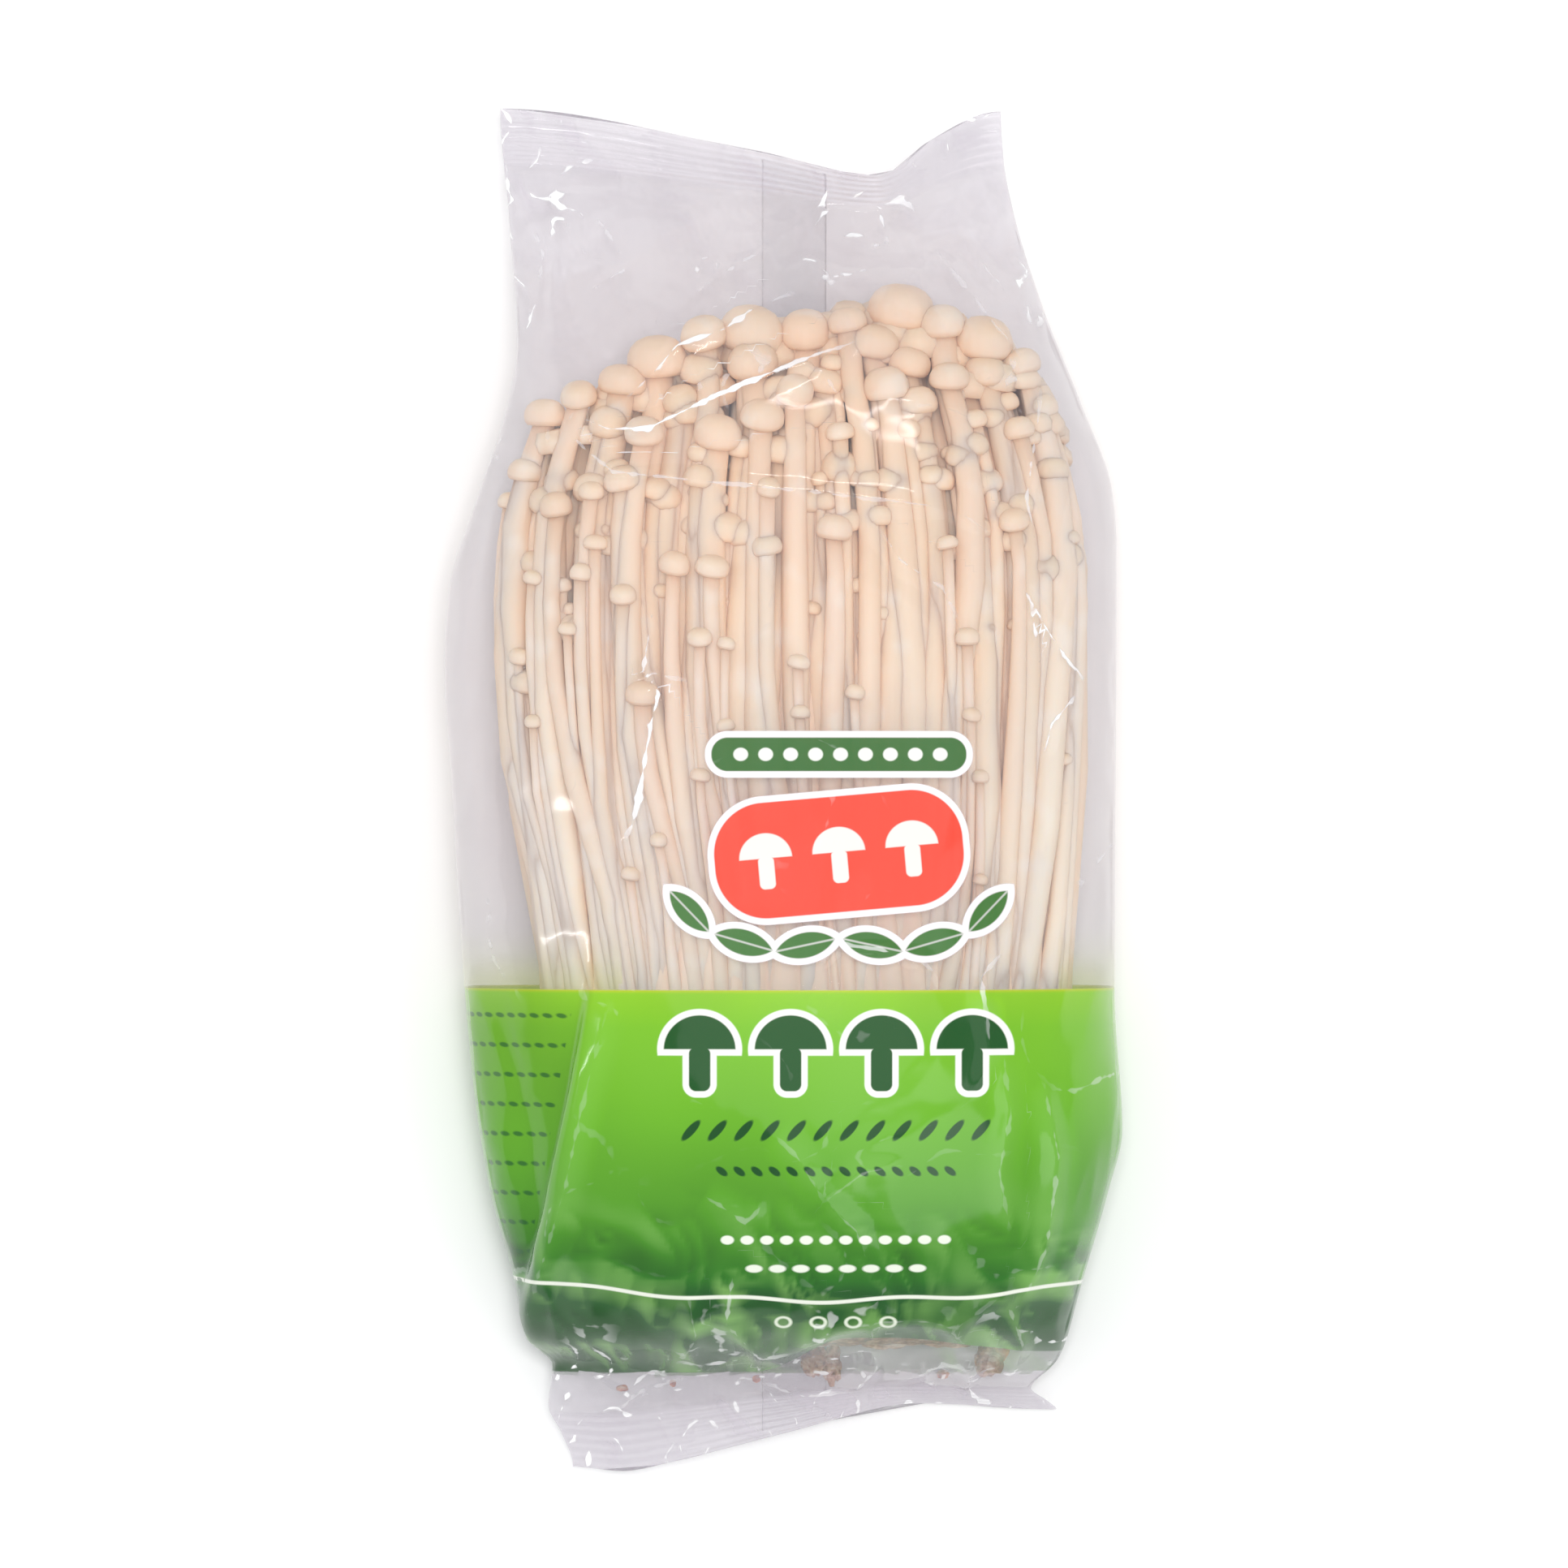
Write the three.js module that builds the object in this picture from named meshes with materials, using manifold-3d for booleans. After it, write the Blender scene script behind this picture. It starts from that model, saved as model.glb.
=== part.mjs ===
// Enoki mushroom bunch in the sealed film bag that it is sold in, lying on its back.
// Millimetres, +Z up. X runs across the bag and Y from the cut root pad to the caps.
// The origin is under the middle of the bag, on the surface that the bag lies on.
import * as THREE from "three";
import { mergeVertices } from "three/addons/utils/BufferGeometryUtils.js";
import Module from "manifold-3d";

const wasm = await Module();
wasm.setup();

// Driving dimensions of the bag.
const BAG_HALF_LENGTH = 95;
const SEAL_WIDTH = 8; // crimped band at each end of the bag
const WALL = 0.6; // film, thickened so that it is a printable solid
const FIN = { middle: 1.5, width: 9, depth: 0.6, halfLength: 84 }; // back seam, folded flat
const SLIT = { width: 0.5, halfLength: 55 }; // where the two film edges meet beside the fin
const SIDE_HEIGHT = 0.38; // where the bag is widest, as a share of its depth
const TOP_ROUNDING = 2.4; // superellipse exponents of the upper and the lower film
const BACK_ROUNDING = 4;
const SEAL_ROUNDING = 12; // both of them where the bag has flattened into a seal
const COLUMNS = 16;

// The bag's form as [y, value] tables: its side edges, the height of its upper film and of
// the film it lies on. A station y names the same line of film wherever the seals are bent.
const LEFT_EDGE = [
  [-95, -29.4], [-90, -31], [-86, -32.8], [-80, -32.2], [-76, -35.8], [-68, -37.3],
  [-55, -40.7], [-41, -42.9], [-20, -44.7], [0, -45.9], [18, -47], [28, -46.3], [40, -42.7],
  [54, -38.2], [62, -37], [80, -38.2], [95, -39.4],
];
const RIGHT_EDGE = [
  [-95, 38.2], [-91, 36.8], [-87, 34.6], [-80, 38.4], [-70, 41], [-55, 45.2], [-47, 47],
  [-28, 45.9], [34, 46.2], [41, 45.7], [54, 41.2], [67, 36.1], [80, 32.2], [88, 30.7],
  [95, 30.3],
];
const UPPER_FILM = [
  [-95, 7.2], [-87, 7.6], [-84.5, 9.8], [-82, 13.6], [-79.5, 20], [-77, 27], [-74, 33],
  [-70, 37.5], [-62, 43.5], [-50, 48], [-30, 50.4], [10, 50.4], [38, 46], [55, 41], [64, 36],
  [71, 29.5], [77, 21.5], [82, 15.6], [87, 12], [95, 11.8],
];
const LOWER_FILM = [
  [-95, 6], [-87, 6.4], [-83, 5.4], [-78, 3.4], [-70, 1.4], [-62, 0.6], [40, 0.6],
  [55, 1.4], [66, 3.6], [74, 6.4], [82, 9.2], [87, 10.6], [95, 10.6],
];
// How far each bent seal falls short of the full length, and its lift, as [across, mm]
// tables. across runs from -1 at the left edge to 1 at the right edge.
const TOP_SHORTFALL = [[-1, 0], [0, 5.9], [0.5, 9.7], [0.6, 8.3], [0.69, 5.2], [1, 0.4]];
const TOP_LIFT = [[-1, 0], [-0.4, 0.5], [0.45, 9], [0.75, 3], [1, 0]];
const BOTTOM_SHORTFALL = [[-1, 0.6], [-0.8, 0], [-0.58, 1.4], [-0.13, 5.3], [0.45, 9.3], [1, 8.5]];
const BOTTOM_LIFT = [[-1, -2], [-0.5, 0], [0, -1.5], [0.5, -4.8], [1, -4]];
const TOP_BEND_LENGTH = 35; // the bend in each end fades out over this length
const BOTTOM_BEND_LENGTH = 23;
const BAG_STATIONS = [
  -95, -91, -87, -84, -81, -78, -75, -71, -66, -61, -53, -43, -30, -15, 0, 15, 28, 38, 46, 53,
  59, 65, 71, 76, 81, 86, 91, 95,
];
const HOLLOW_STATIONS = [
  -86, -84, -81, -78, -75, -71, -66, -61, -53, -43, -30, -15, 0, 15, 28, 38, 46, 53, 59, 65,
  71, 76, 81, 85,
];

// The bunch: a cut root pad, and stems that fan out from it, dense as far as the core goes.
const ROOT_END = -68; // where the stems meet the pad
const PAD_END = -76.5;
// The core's width and depth against the bunch's own, as [y, share].
const CORE = [[-68, 0.95], [-36, 0.95], [0, 0.89], [26, 0.8], [44, 0.62], [52, 0.3]];
const FLUTES = 36; // ridges round the core, one for each stem packed at its edge
const FLUTE_DEPTH = 0.06;
const ROOT_GATHER = 0.84; // stems' spread at the pad against their spread at the caps
const FILM_CLEARANCE = 2; // from the outside of the bag to the outermost cap
const BUNCH_LEFT = [[-70, -31], [-45, -34], [-14, -37], [0, -40], [20, -41], [36, -40.2], [46, -37.6], [56, -34.6]];
const BUNCH_RIGHT = [[-70, 35.5], [-58, 38.5], [-27, 42.4], [0, 43.6], [30, 43.4], [45, 40.6], [62, 35.4]];
const BUNCH_ROUNDING = 2.4;
const CROWN = [
  [-38, 50], [-32, 55], [-22, 59.5], [-14, 63], [-8, 67], [3, 67.5], [14, 71], [20, 69.5],
  [27, 66.5], [33, 64.5], [38, 57], [43, 44],
]; // [x, y] of the outline that the tallest caps reach

// The caps on the upper side of the bunch, as [x, y, width], from the tallest down.
const UPPER_CAPS = [
  [16.1, 67.6, 9.9], [9, 65.4, 5.1], [22, 65.4, 6.5], [-4.6, 64.5, 8.7], [3, 64.5, 6.8],
  [-10.8, 63.8, 6.2], [27.6, 63.4, 7.7], [12.4, 62.6, 6.5], [-17.4, 60.6, 8.1],
  [33.4, 59.7, 5.9], [-4.3, 60, 7], [27.5, 58.6, 6.1], [-11.4, 59, 6.1], [22.5, 57.6, 5.6],
  [13.9, 56.6, 6.1], [-22.4, 57.2, 6.3], [5.3, 57, 5], [1.3, 55.8, 5.2], [-28, 55.2, 5.2],
  [18.3, 54.2, 5.2], [-13.9, 54.6, 5.2], [-33.2, 52.6, 5.6], [35.6, 53.6, 4.5],
  [26.2, 51.6, 3.4], [-23.8, 51.4, 5.6], [-3, 52.3, 5.9], [32.2, 50.4, 4.1],
  [17.1, 50.2, 3.2], [11.7, 50.6, 2.9], [-18.8, 50, 5.4], [-8.9, 50, 6.3], [7.8, 49.8, 3.8],
  [-0.3, 47.4, 5.9], [-35.3, 44.6, 5], [-21.6, 43.4, 5.2], [-11.4, 43.6, 4.3],
  [11.7, 43.2, 3.2], [-2.1, 42, 3.4], [-26.2, 41.6, 3.4], [-37.6, 40.4, 3.4],
  [-30.9, 39.8, 4.7], [31.6, 37.7, 4.1], [6.8, 36.5, 5], [39.4, 35.2, 2.8],
  [-25.8, 34.4, 3.2], [22.5, 34.3, 2.9], [-2.1, 34, 4.3], [-15, 31.6, 4.3], [-9.8, 31.2, 4.5],
  [-27.8, 30.3, 3.2], [-34.5, 29.6, 2.6], [-21.9, 27.3, 3.8], [-29.6, 22.5, 2.6],
  [-11.4, 21.4, 3.5], [25.2, 21.4, 3.2], [-7.9, 20.4, 2.6], [-36.4, 18.8, 2.9],
  [2, 17.9, 3], [-19.3, 13.8, 4.5], [9.7, 13.8, 2.6], [2.3, 11, 2.6], [25.7, 10.7, 2.5],
  [-34.4, 9.8, 2.4], [-7.8, 9.2, 2.4], [-11.4, 2.4, 2.8], [26.9, 2.2, 2.4],
  [-17.2, -6.4, 2.5], [-21.1, -11.1, 2.5], [26.9, -11.9, 2.2], [38.6, 4.6, 2.4],
];
const LOWER_COUNT = 30; // mushrooms on the side that lies down
const INNER_COUNT = 10; // tall ones in the middle of the crown
const [SMALL, BIG] = [3.9, 5.5]; // caps narrower than these are made with fewer sides
const GOLDEN = 0.618034; // steps that spread a row of mushrooms evenly
const PLASTIC = 0.754878;

// A value that runs smoothly through a table of [station, value] pairs, with no overshoot.
function along(table, at) {
  const last = table.length - 1;
  if (at <= table[0][0]) return table[0][1];
  if (at >= table[last][0]) return table[last][1];
  const k = table.findIndex(([station]) => station > at) - 1;
  const rise = (i) => (table[i + 1][1] - table[i][1]) / (table[i + 1][0] - table[i][0]);
  const slope = (i) => {
    if (i === 0 || i === last) return 0;
    const [before, after] = [rise(i - 1), rise(i)];
    return before * after > 0 ? (2 * before * after) / (before + after) : 0;
  };
  const step = table[k + 1][0] - table[k][0];
  const t = (at - table[k][0]) / step;
  return (
    table[k][1] * (1 + 2 * t) * (1 - t) ** 2 +
    table[k + 1][1] * t * t * (3 - 2 * t) +
    step * t * (1 - t) * (slope(k) * (1 - t) - slope(k + 1) * t)
  );
}

const lerp = THREE.MathUtils.lerp;
const clamp = THREE.MathUtils.clamp;
const fraction = (value) => value - Math.floor(value);
const dome = (across, rounding) => (1 - Math.abs(across) ** rounding) ** (1 / rounding);

// Seeded numbers from 0 to 1, the same on every run.
function seeded(seed) {
  let state = seed >>> 0;
  return () => {
    state = (Math.imul(state, 1664525) + 1013904223) >>> 0;
    return state / 4294967296;
  };
}

function geometryOf(points, faces) {
  const geometry = new THREE.BufferGeometry();
  geometry.setAttribute("position", new THREE.Float32BufferAttribute(points.flat(), 3));
  geometry.setIndex(faces.flat());
  return geometry;
}

// A closed skin over rings of points, each ring with the same count, closed by a fan at
// each end. Rings run counter-clockwise as seen from the end that they run towards.
function loftedGeometry(rings, firstTip, lastTip) {
  const count = rings[0].length;
  const points = [...rings.flat(), firstTip, lastTip];
  const [first, last] = [points.length - 2, points.length - 1];
  const faces = [];
  for (let i = 0; i < count; i++) {
    const j = (i + 1) % count;
    faces.push([first, j, i], [last, (rings.length - 1) * count + i, (rings.length - 1) * count + j]);
    for (let r = 0; r < rings.length - 1; r++) {
      const [a, b] = [r * count + i, r * count + j];
      faces.push([a, b, b + count], [a, b + count, a + count]);
    }
  }
  return geometryOf(points, faces);
}

function solidOf(geometry) {
  const bare = geometry.clone();
  bare.deleteAttribute("normal");
  bare.deleteAttribute("uv");
  const merged = mergeVertices(bare, 1e-3);
  return new wasm.Manifold(
    new wasm.Mesh({
      numProp: 3,
      vertProperties: new Float32Array(merged.attributes.position.array),
      triVerts: new Uint32Array(merged.index.array),
    }),
  );
}

function geometryFrom(solid) {
  const mesh = solid.getMesh();
  const geometry = new THREE.BufferGeometry();
  geometry.setAttribute("position", new THREE.BufferAttribute(mesh.vertProperties, 3));
  geometry.setIndex(new THREE.BufferAttribute(mesh.triVerts, 1));
  geometry.computeVertexNormals();
  return geometry;
}

// Where the film is: station y and across from -1 to 1, on the upper or the lower side.
// An inset is measured square to the film, so it counts for more where the film is steep.
function filmPoint(station, across, side, inset) {
  const slope = (table) => along(table, station + 1) / 2 - along(table, station - 1) / 2;
  const left = along(LEFT_EDGE, station) + 2 * inset;
  const right = along(RIGHT_EDGE, station) - 2 * inset;
  const upper = along(UPPER_FILM, station) - inset * Math.hypot(1, slope(UPPER_FILM));
  const lower = along(LOWER_FILM, station) + inset * Math.hypot(1, slope(LOWER_FILM));
  const middle = lerp(lower, upper, SIDE_HEIGHT);
  const flatness = clamp((Math.abs(station) - BAG_HALF_LENGTH + 2 * SEAL_WIDTH) / SEAL_WIDTH, 0, 1);
  const rounding = lerp(side === "upper" ? TOP_ROUNDING : BACK_ROUNDING, SEAL_ROUNDING, flatness ** 2);
  const topBend = clamp((station - BAG_HALF_LENGTH + TOP_BEND_LENGTH) / TOP_BEND_LENGTH, 0, 1) ** 2;
  const bottomBend = clamp((BOTTOM_BEND_LENGTH - BAG_HALF_LENGTH - station) / BOTTOM_BEND_LENGTH, 0, 1) ** 2;
  return [
    (left + right) / 2 + ((right - left) / 2) * across,
    station - topBend * along(TOP_SHORTFALL, across) + bottomBend * along(BOTTOM_SHORTFALL, across),
    lerp(middle, side === "upper" ? upper : lower, dome(across, rounding)) +
      topBend * along(TOP_LIFT, across) + bottomBend * along(BOTTOM_LIFT, across),
  ];
}

// The closed form of the bag, or with an inset the form of its hollow.
function bagForm(stations, inset) {
  const acrosses = Array.from({ length: COLUMNS + 1 }, (_, i) => Math.sin(Math.PI * (i / COLUMNS - 0.5)));
  const rings = stations.map((station) => [
    ...acrosses.map((across) => filmPoint(station, across, "upper", inset)),
    ...acrosses.slice(1, -1).reverse().map((across) => filmPoint(station, across, "lower", inset)),
  ]);
  const count = rings[0].length;
  const faces = [];
  for (let r = 0; r < rings.length - 1; r++)
    for (let i = 0; i < count; i++) {
      const [a, b] = [r * count + i, r * count + ((i + 1) % count)];
      faces.push([a, b, b + count], [a, b + count, a + count]);
    }
  const lastRing = (rings.length - 1) * count;
  for (let i = 0; i < COLUMNS; i++) {
    const below = (k) => (k === 0 || k === COLUMNS ? k : count - k);
    const [u0, u1, l0, l1] = [i, i + 1, below(i), below(i + 1)];
    for (const [face, ring] of [[[u1, u0, l1], 0], [[l1, u0, l0], 0], [[u0, u1, l1], lastRing], [[u0, l1, l0], lastRing]])
      if (new Set(face).size === 3) faces.push(face.map((k) => k + ring));
  }
  return solidOf(geometryOf(rings.flat(), faces));
}

// The two film edges, sealed together and folded flat along the back of the bag.
function backFin() {
  const stations = BAG_STATIONS.filter((station) => Math.abs(station) <= FIN.halfLength);
  const rings = stations.map((station) => {
    const left = along(LEFT_EDGE, station);
    const right = along(RIGHT_EDGE, station);
    const at = (x) => {
      const [, y, z] = filmPoint(station, (2 * x - left - right) / (right - left), "lower", 0);
      return [x, y, z];
    };
    const [a, b] = [at(FIN.middle - FIN.width / 2), at(FIN.middle + FIN.width / 2)];
    const lowered = ([x, y, z], by) => [x, y, z + by];
    return [lowered(a, -FIN.depth), lowered(a, WALL / 2), lowered(b, WALL / 2), lowered(b, -FIN.depth)];
  });
  const centre = (ring) => [0, 1, 2].map((k) => ring.reduce((sum, p) => sum + p[k], 0) / ring.length);
  return solidOf(loftedGeometry(rings, centre(rings[0]), centre(rings.at(-1))));
}

function bagFilm() {
  const slit = new THREE.BoxGeometry(SLIT.width, 2 * SLIT.halfLength, 4 * WALL);
  slit.translate(FIN.middle + FIN.width / 2 + SLIT.width, 0, FIN.depth);
  return bagForm(BAG_STATIONS, 0)
    .subtract(bagForm(HOLLOW_STATIONS, WALL))
    .add(backFin())
    .subtract(solidOf(slit));
}

// The bunch's own section at y: its centre and its half width and half depth.
function bunchSection(y) {
  const [left, right] = [along(BUNCH_LEFT, y), along(BUNCH_RIGHT, y)];
  const [lower, upper] = [along(LOWER_FILM, y), along(UPPER_FILM, y)];
  return {
    x: (left + right) / 2,
    z: (lower + upper) / 2,
    halfWidth: (right - left) / 2,
    halfDepth: (upper - lower) / 2 - FILM_CLEARANCE,
  };
}

// Where a mushroom stands: (u, v) run from -1 to 1 across the bunch and through it.
function placed(u, v, y) {
  const section = bunchSection(y);
  return [section.x + section.halfWidth * u, y, section.z + section.halfDepth * v];
}

// A mushroom with its cap at [x, y], side 1 for the upper face of the bunch and -1 for the
// face it lies on. A short one grows near the film, and a tall one from deeper in.
function mushroomAt([x, y, width], side, random) {
  const section = bunchSection(y);
  const radius = width / 2;
  const u = clamp((x - section.x) / section.halfWidth, radius / section.halfWidth - 1, 1 - radius / section.halfWidth);
  const height = clamp((y + 12) / 82, 0, 1);
  const reach = side * (1 - 0.5 * height ** 1.6);
  const room = Math.max(dome(Math.min(Math.abs(u) + 0.04, 1), BUNCH_ROUNDING) - radius / section.halfDepth, 0);
  const v = reach * room;
  return {
    capEnd: y,
    u: [clamp(u, -0.93, 0.93) * ROOT_GATHER + (random() - 0.5) * 0.12, u],
    v: [v * ROOT_GATHER, v],
    sway: [(random() - 0.5) * 1.6, (random() - 0.5) * 1.2],
    width,
    capHeight: width * (0.5 + 0.14 * random()),
    stem: [[0, 1.4], [0.45, 1.8], [0.8, Math.min(width * 0.38, 2.4)], [1, width * 0.32]],
    tilt: [(random() - 0.5) * 0.5, side * (0.1 + 0.35 * random())],
  };
}

function spread(count, side, lowest, random) {
  return Array.from({ length: count }, (_, k) => {
    const across = 1.84 * fraction(GOLDEN * (k + 1)) - 0.92;
    const x = 2 + 40 * across;
    const crown = along(CROWN, x) - 4;
    const y = lerp(lowest, crown, fraction(PLASTIC * (k + 1)) ** 0.8);
    const width = 2.4 + 5.2 * clamp((y + 12) / 82, 0, 1) ** 1.3 * (0.8 + 0.4 * random());
    return mushroomAt([x, y, width], side, random);
  });
}

// Rings round the stem's bent axis, which carry on over the cap. Small ones need fewer.
function mushroom(m) {
  const small = m.width < SMALL;
  const sides = m.width > BIG ? 6 : 5;
  const reach = m.capEnd - m.capHeight * 0.5 - ROOT_END;
  const axisAt = (t) => {
    const y = ROOT_END + reach * t;
    const ease = t * t * (3 - 2 * t);
    const [x, , z] = placed(lerp(m.u[0], m.u[1], ease), lerp(m.v[0], m.v[1], ease), y);
    const bow = Math.sin(Math.PI * t) * Math.sin(2.4 * Math.PI * t);
    return new THREE.Vector3(x + m.sway[0] * bow, y, z + m.sway[1] * bow);
  };
  const neck = axisAt(1);
  const aim = new THREE.Vector3(m.tilt[0], 1, m.tilt[1]).normalize();
  const across = new THREE.Vector3(1, 0, 0).addScaledVector(aim, -aim.x).normalize();
  const over = new THREE.Vector3().crossVectors(across, aim);
  const ring = (centre, radius, sideways, upwards) =>
    Array.from({ length: sides }, (_, i) => {
      const angle = (2 * Math.PI * i) / sides;
      return centre.clone()
        .addScaledVector(sideways, -radius * Math.cos(angle))
        .addScaledVector(upwards, radius * Math.sin(angle)).toArray();
    });
  const [eastward, upward] = [new THREE.Vector3(1, 0, 0), new THREE.Vector3(0, 0, 1)];
  const stations = small ? [0.1, 0.6] : [0.1, 0.4, 0.72];
  const rings = stations.map((t) => ring(axisAt(t), along(m.stem, t), eastward, upward));
  rings.push(ring(neck, along(m.stem, 1), across, over));
  for (const [share, rise] of small ? [[1, 0.2]] : [[0.94, 0], [1, 0.34], [0.68, 0.82]])
    rings.push(ring(neck.clone().addScaledVector(aim, rise * m.capHeight), (share * m.width) / 2, across, over));
  return solidOf(
    loftedGeometry(rings, axisAt(0.1).toArray(), neck.clone().addScaledVector(aim, m.capHeight).toArray()),
  );
}

// The packed middle of the bunch, ridged like the stems that it stands for. Its ridges end
// at uneven heights, with the loose stems standing out of them.
function bunchCore() {
  const squared = (value) => Math.sign(value) * Math.abs(value) ** (2 / BUNCH_ROUNDING);
  const rings = CORE.map(([y, share], r) =>
    Array.from({ length: 2 * FLUTES }, (_, i) => {
      const turn = (Math.PI * (i + 0.35 * Math.sin(5 * i))) / FLUTES;
      const angle = turn + 0.16 * Math.sin(2 * turn); // even spacing round a flat oval
      const reach = share - (i % 2) * FLUTE_DEPTH;
      const uneven = r > 2 ? 3 * Math.sin(2.4 * Math.floor(i / 2)) : 0;
      return placed(-reach * squared(Math.cos(angle)), reach * squared(Math.sin(angle)), y + uneven);
    }),
  );
  return solidOf(loftedGeometry(rings, placed(0, 0, ROOT_END), placed(0, 0, CORE.at(-1)[0] + 1)));
}

function mushroomBunch() {
  const random = seeded(20);
  const inner = Array.from({ length: INNER_COUNT }, (_, k) => {
    const x = 2 + 30 * (2 * fraction(GOLDEN * (k + 1)) - 1);
    const m = mushroomAt([x, along(CROWN, x) - 3.5, 5.4 + 2.4 * random()], 1, random);
    const v = 0.3 * (2 * fraction(PLASTIC * (k + 1)) - 1);
    return { ...m, v: [v, v] };
  });
  const mushrooms = [
    ...UPPER_CAPS.map((cap) => mushroomAt(cap, 1, random)),
    ...spread(LOWER_COUNT, -1, -10, random),
    ...inner,
  ];
  // Stems that touch shut tiny pockets between them, and the outermost skin leaves those out.
  const fused = wasm.Manifold.union([bunchCore(), ...mushrooms.map(mushroom)]);
  const skins = solidOf(geometryFrom(fused)).decompose();
  return skins.reduce((a, b) => (a.volume() > b.volume() ? a : b));
}

// What is left of the growing block under the stems: a rough, torn slab.
function rootPad() {
  const [rings, around] = [[], 28];
  for (const [depth, share] of [[0, 0.56], [1.6, 0.76], [4.5, 0.93], [6, 0.92], [8, 0.9]])
    rings.push(Array.from({ length: around }, (_, i) => {
      const angle = (2 * Math.PI * i) / around;
      const torn = share + 0.035 * Math.sin(5 * angle + depth) + 0.025 * Math.sin(11 * angle - 2 * depth);
      const ragged = depth < 4 ? 0.5 * Math.sin(3 * angle) + 0.4 * Math.sin(7 * angle) : 0;
      const [x, y, z] = placed(-torn * Math.cos(angle), torn * Math.sin(angle), PAD_END + depth);
      return [x, y + ragged, z];
    }));
  return solidOf(loftedGeometry(rings, placed(0, 0, PAD_END), placed(0, 0, PAD_END + 8)));
}

// A loose bit of the growing block: a lump with a few flat sides.
function crumbGeometry(size, seed) {
  const random = seeded(seed);
  const lump = new THREE.IcosahedronGeometry(1, 0);
  const merged = mergeVertices(new THREE.BufferGeometry().setAttribute("position", lump.attributes.position), 1e-4);
  const place = merged.attributes.position;
  for (let i = 0; i < place.count; i++) {
    const reach = 0.8 + 0.3 * random();
    place.setXYZ(i, (place.getX(i) * size[0] * reach) / 2, (place.getY(i) * size[1] * reach) / 2, (place.getZ(i) * size[2] * reach) / 2);
  }
  return merged;
}

const MATERIALS = {
  film: new THREE.MeshStandardMaterial({ color: 0xdfd9dd, roughness: 0.15, metalness: 0, transparent: true, opacity: 0.35 }),
  flesh: new THREE.MeshStandardMaterial({ color: 0xead8c6, roughness: 0.55, metalness: 0 }),
  root: new THREE.MeshStandardMaterial({ color: 0xb58e6c, roughness: 0.9, metalness: 0 }),
  crumb: new THREE.MeshStandardMaterial({ color: 0xb9783f, roughness: 0.9, metalness: 0 }),
};
// Loose crumbs in the bottom of the bag, as [x, y, z] with their size.
const CRUMBS = [
  { place: [-22.5, -83.2, 8.6], size: [2, 1.2, 1.2] },
  { place: [-15.4, -82.6, 8.6], size: [1.2, 1.2, 1.1] },
  { place: [-3.8, -82, 8.2], size: [1.4, 1.3, 1.1] },
  { place: [22.3, -81.4, 6.8], size: [2, 1.8, 1.4] },
  { place: [30, -77.6, 8], size: [3.6, 5, 3] },
];

function part(name, geometry, material) {
  const mesh = new THREE.Mesh(geometry, material);
  mesh.name = name;
  return mesh;
}

const packedBunch = new THREE.Group();
packedBunch.add(part("bag_film", geometryFrom(bagFilm()), MATERIALS.film));
packedBunch.add(part("mushroom_bunch", geometryFrom(mushroomBunch()), MATERIALS.flesh));
packedBunch.add(part("root_pad", geometryFrom(rootPad()), MATERIALS.root));
CRUMBS.forEach(({ place, size }, k) => {
  const crumb = part(`crumb_${k + 1}`, crumbGeometry(size, 40 + k), MATERIALS.crumb);
  crumb.position.set(...place);
  packedBunch.add(crumb);
});

export default packedBunch;
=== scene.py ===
"""A bunch of enoki mushrooms in the sealed film bag that it is sold in, lying on its back.

The film is a closed wrap with a green printed band over its lower half. The mushrooms stand
in it on a torn pad of the block that they grew from. Tables are in millimetres.
"""

import math

import bpy
import numpy as np
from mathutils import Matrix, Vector


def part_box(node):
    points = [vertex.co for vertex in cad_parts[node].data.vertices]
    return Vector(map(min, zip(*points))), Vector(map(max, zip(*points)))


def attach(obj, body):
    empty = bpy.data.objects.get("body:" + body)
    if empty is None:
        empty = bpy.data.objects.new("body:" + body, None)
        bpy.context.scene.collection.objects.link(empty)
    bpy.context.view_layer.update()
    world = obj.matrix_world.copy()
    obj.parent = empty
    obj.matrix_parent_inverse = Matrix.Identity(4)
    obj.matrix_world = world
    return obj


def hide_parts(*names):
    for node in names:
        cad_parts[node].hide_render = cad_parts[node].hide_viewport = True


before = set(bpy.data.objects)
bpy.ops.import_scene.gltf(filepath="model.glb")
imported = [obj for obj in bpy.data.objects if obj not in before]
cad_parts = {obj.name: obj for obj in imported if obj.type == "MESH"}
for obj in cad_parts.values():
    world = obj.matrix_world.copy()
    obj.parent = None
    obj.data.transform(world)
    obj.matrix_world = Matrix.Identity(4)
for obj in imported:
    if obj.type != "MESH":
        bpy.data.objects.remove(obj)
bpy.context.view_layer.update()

MM = 0.001

# The bag, as in its solid: side edges and the heights of the film, by station y.
HALF_LENGTH = 95
SEAL_WIDTH = 8
SIDE_HEIGHT = 0.38
TOP_ROUNDING, BACK_ROUNDING, SEAL_ROUNDING = 2.4, 4, 12
LEFT_EDGE = [
    (-95, -29.4), (-90, -31), (-86, -32.8), (-80, -32.2), (-76, -35.8), (-68, -37.3),
    (-55, -40.7), (-41, -42.9), (-20, -44.7), (0, -45.9), (18, -47), (28, -46.3), (40, -42.7),
    (54, -38.2), (62, -37), (80, -38.2), (95, -39.4),
]
RIGHT_EDGE = [
    (-95, 38.2), (-91, 36.8), (-87, 34.6), (-80, 38.4), (-70, 41), (-55, 45.2), (-47, 47),
    (-28, 45.9), (34, 46.2), (41, 45.7), (54, 41.2), (67, 36.1), (80, 32.2), (88, 30.7),
    (95, 30.3),
]
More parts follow.
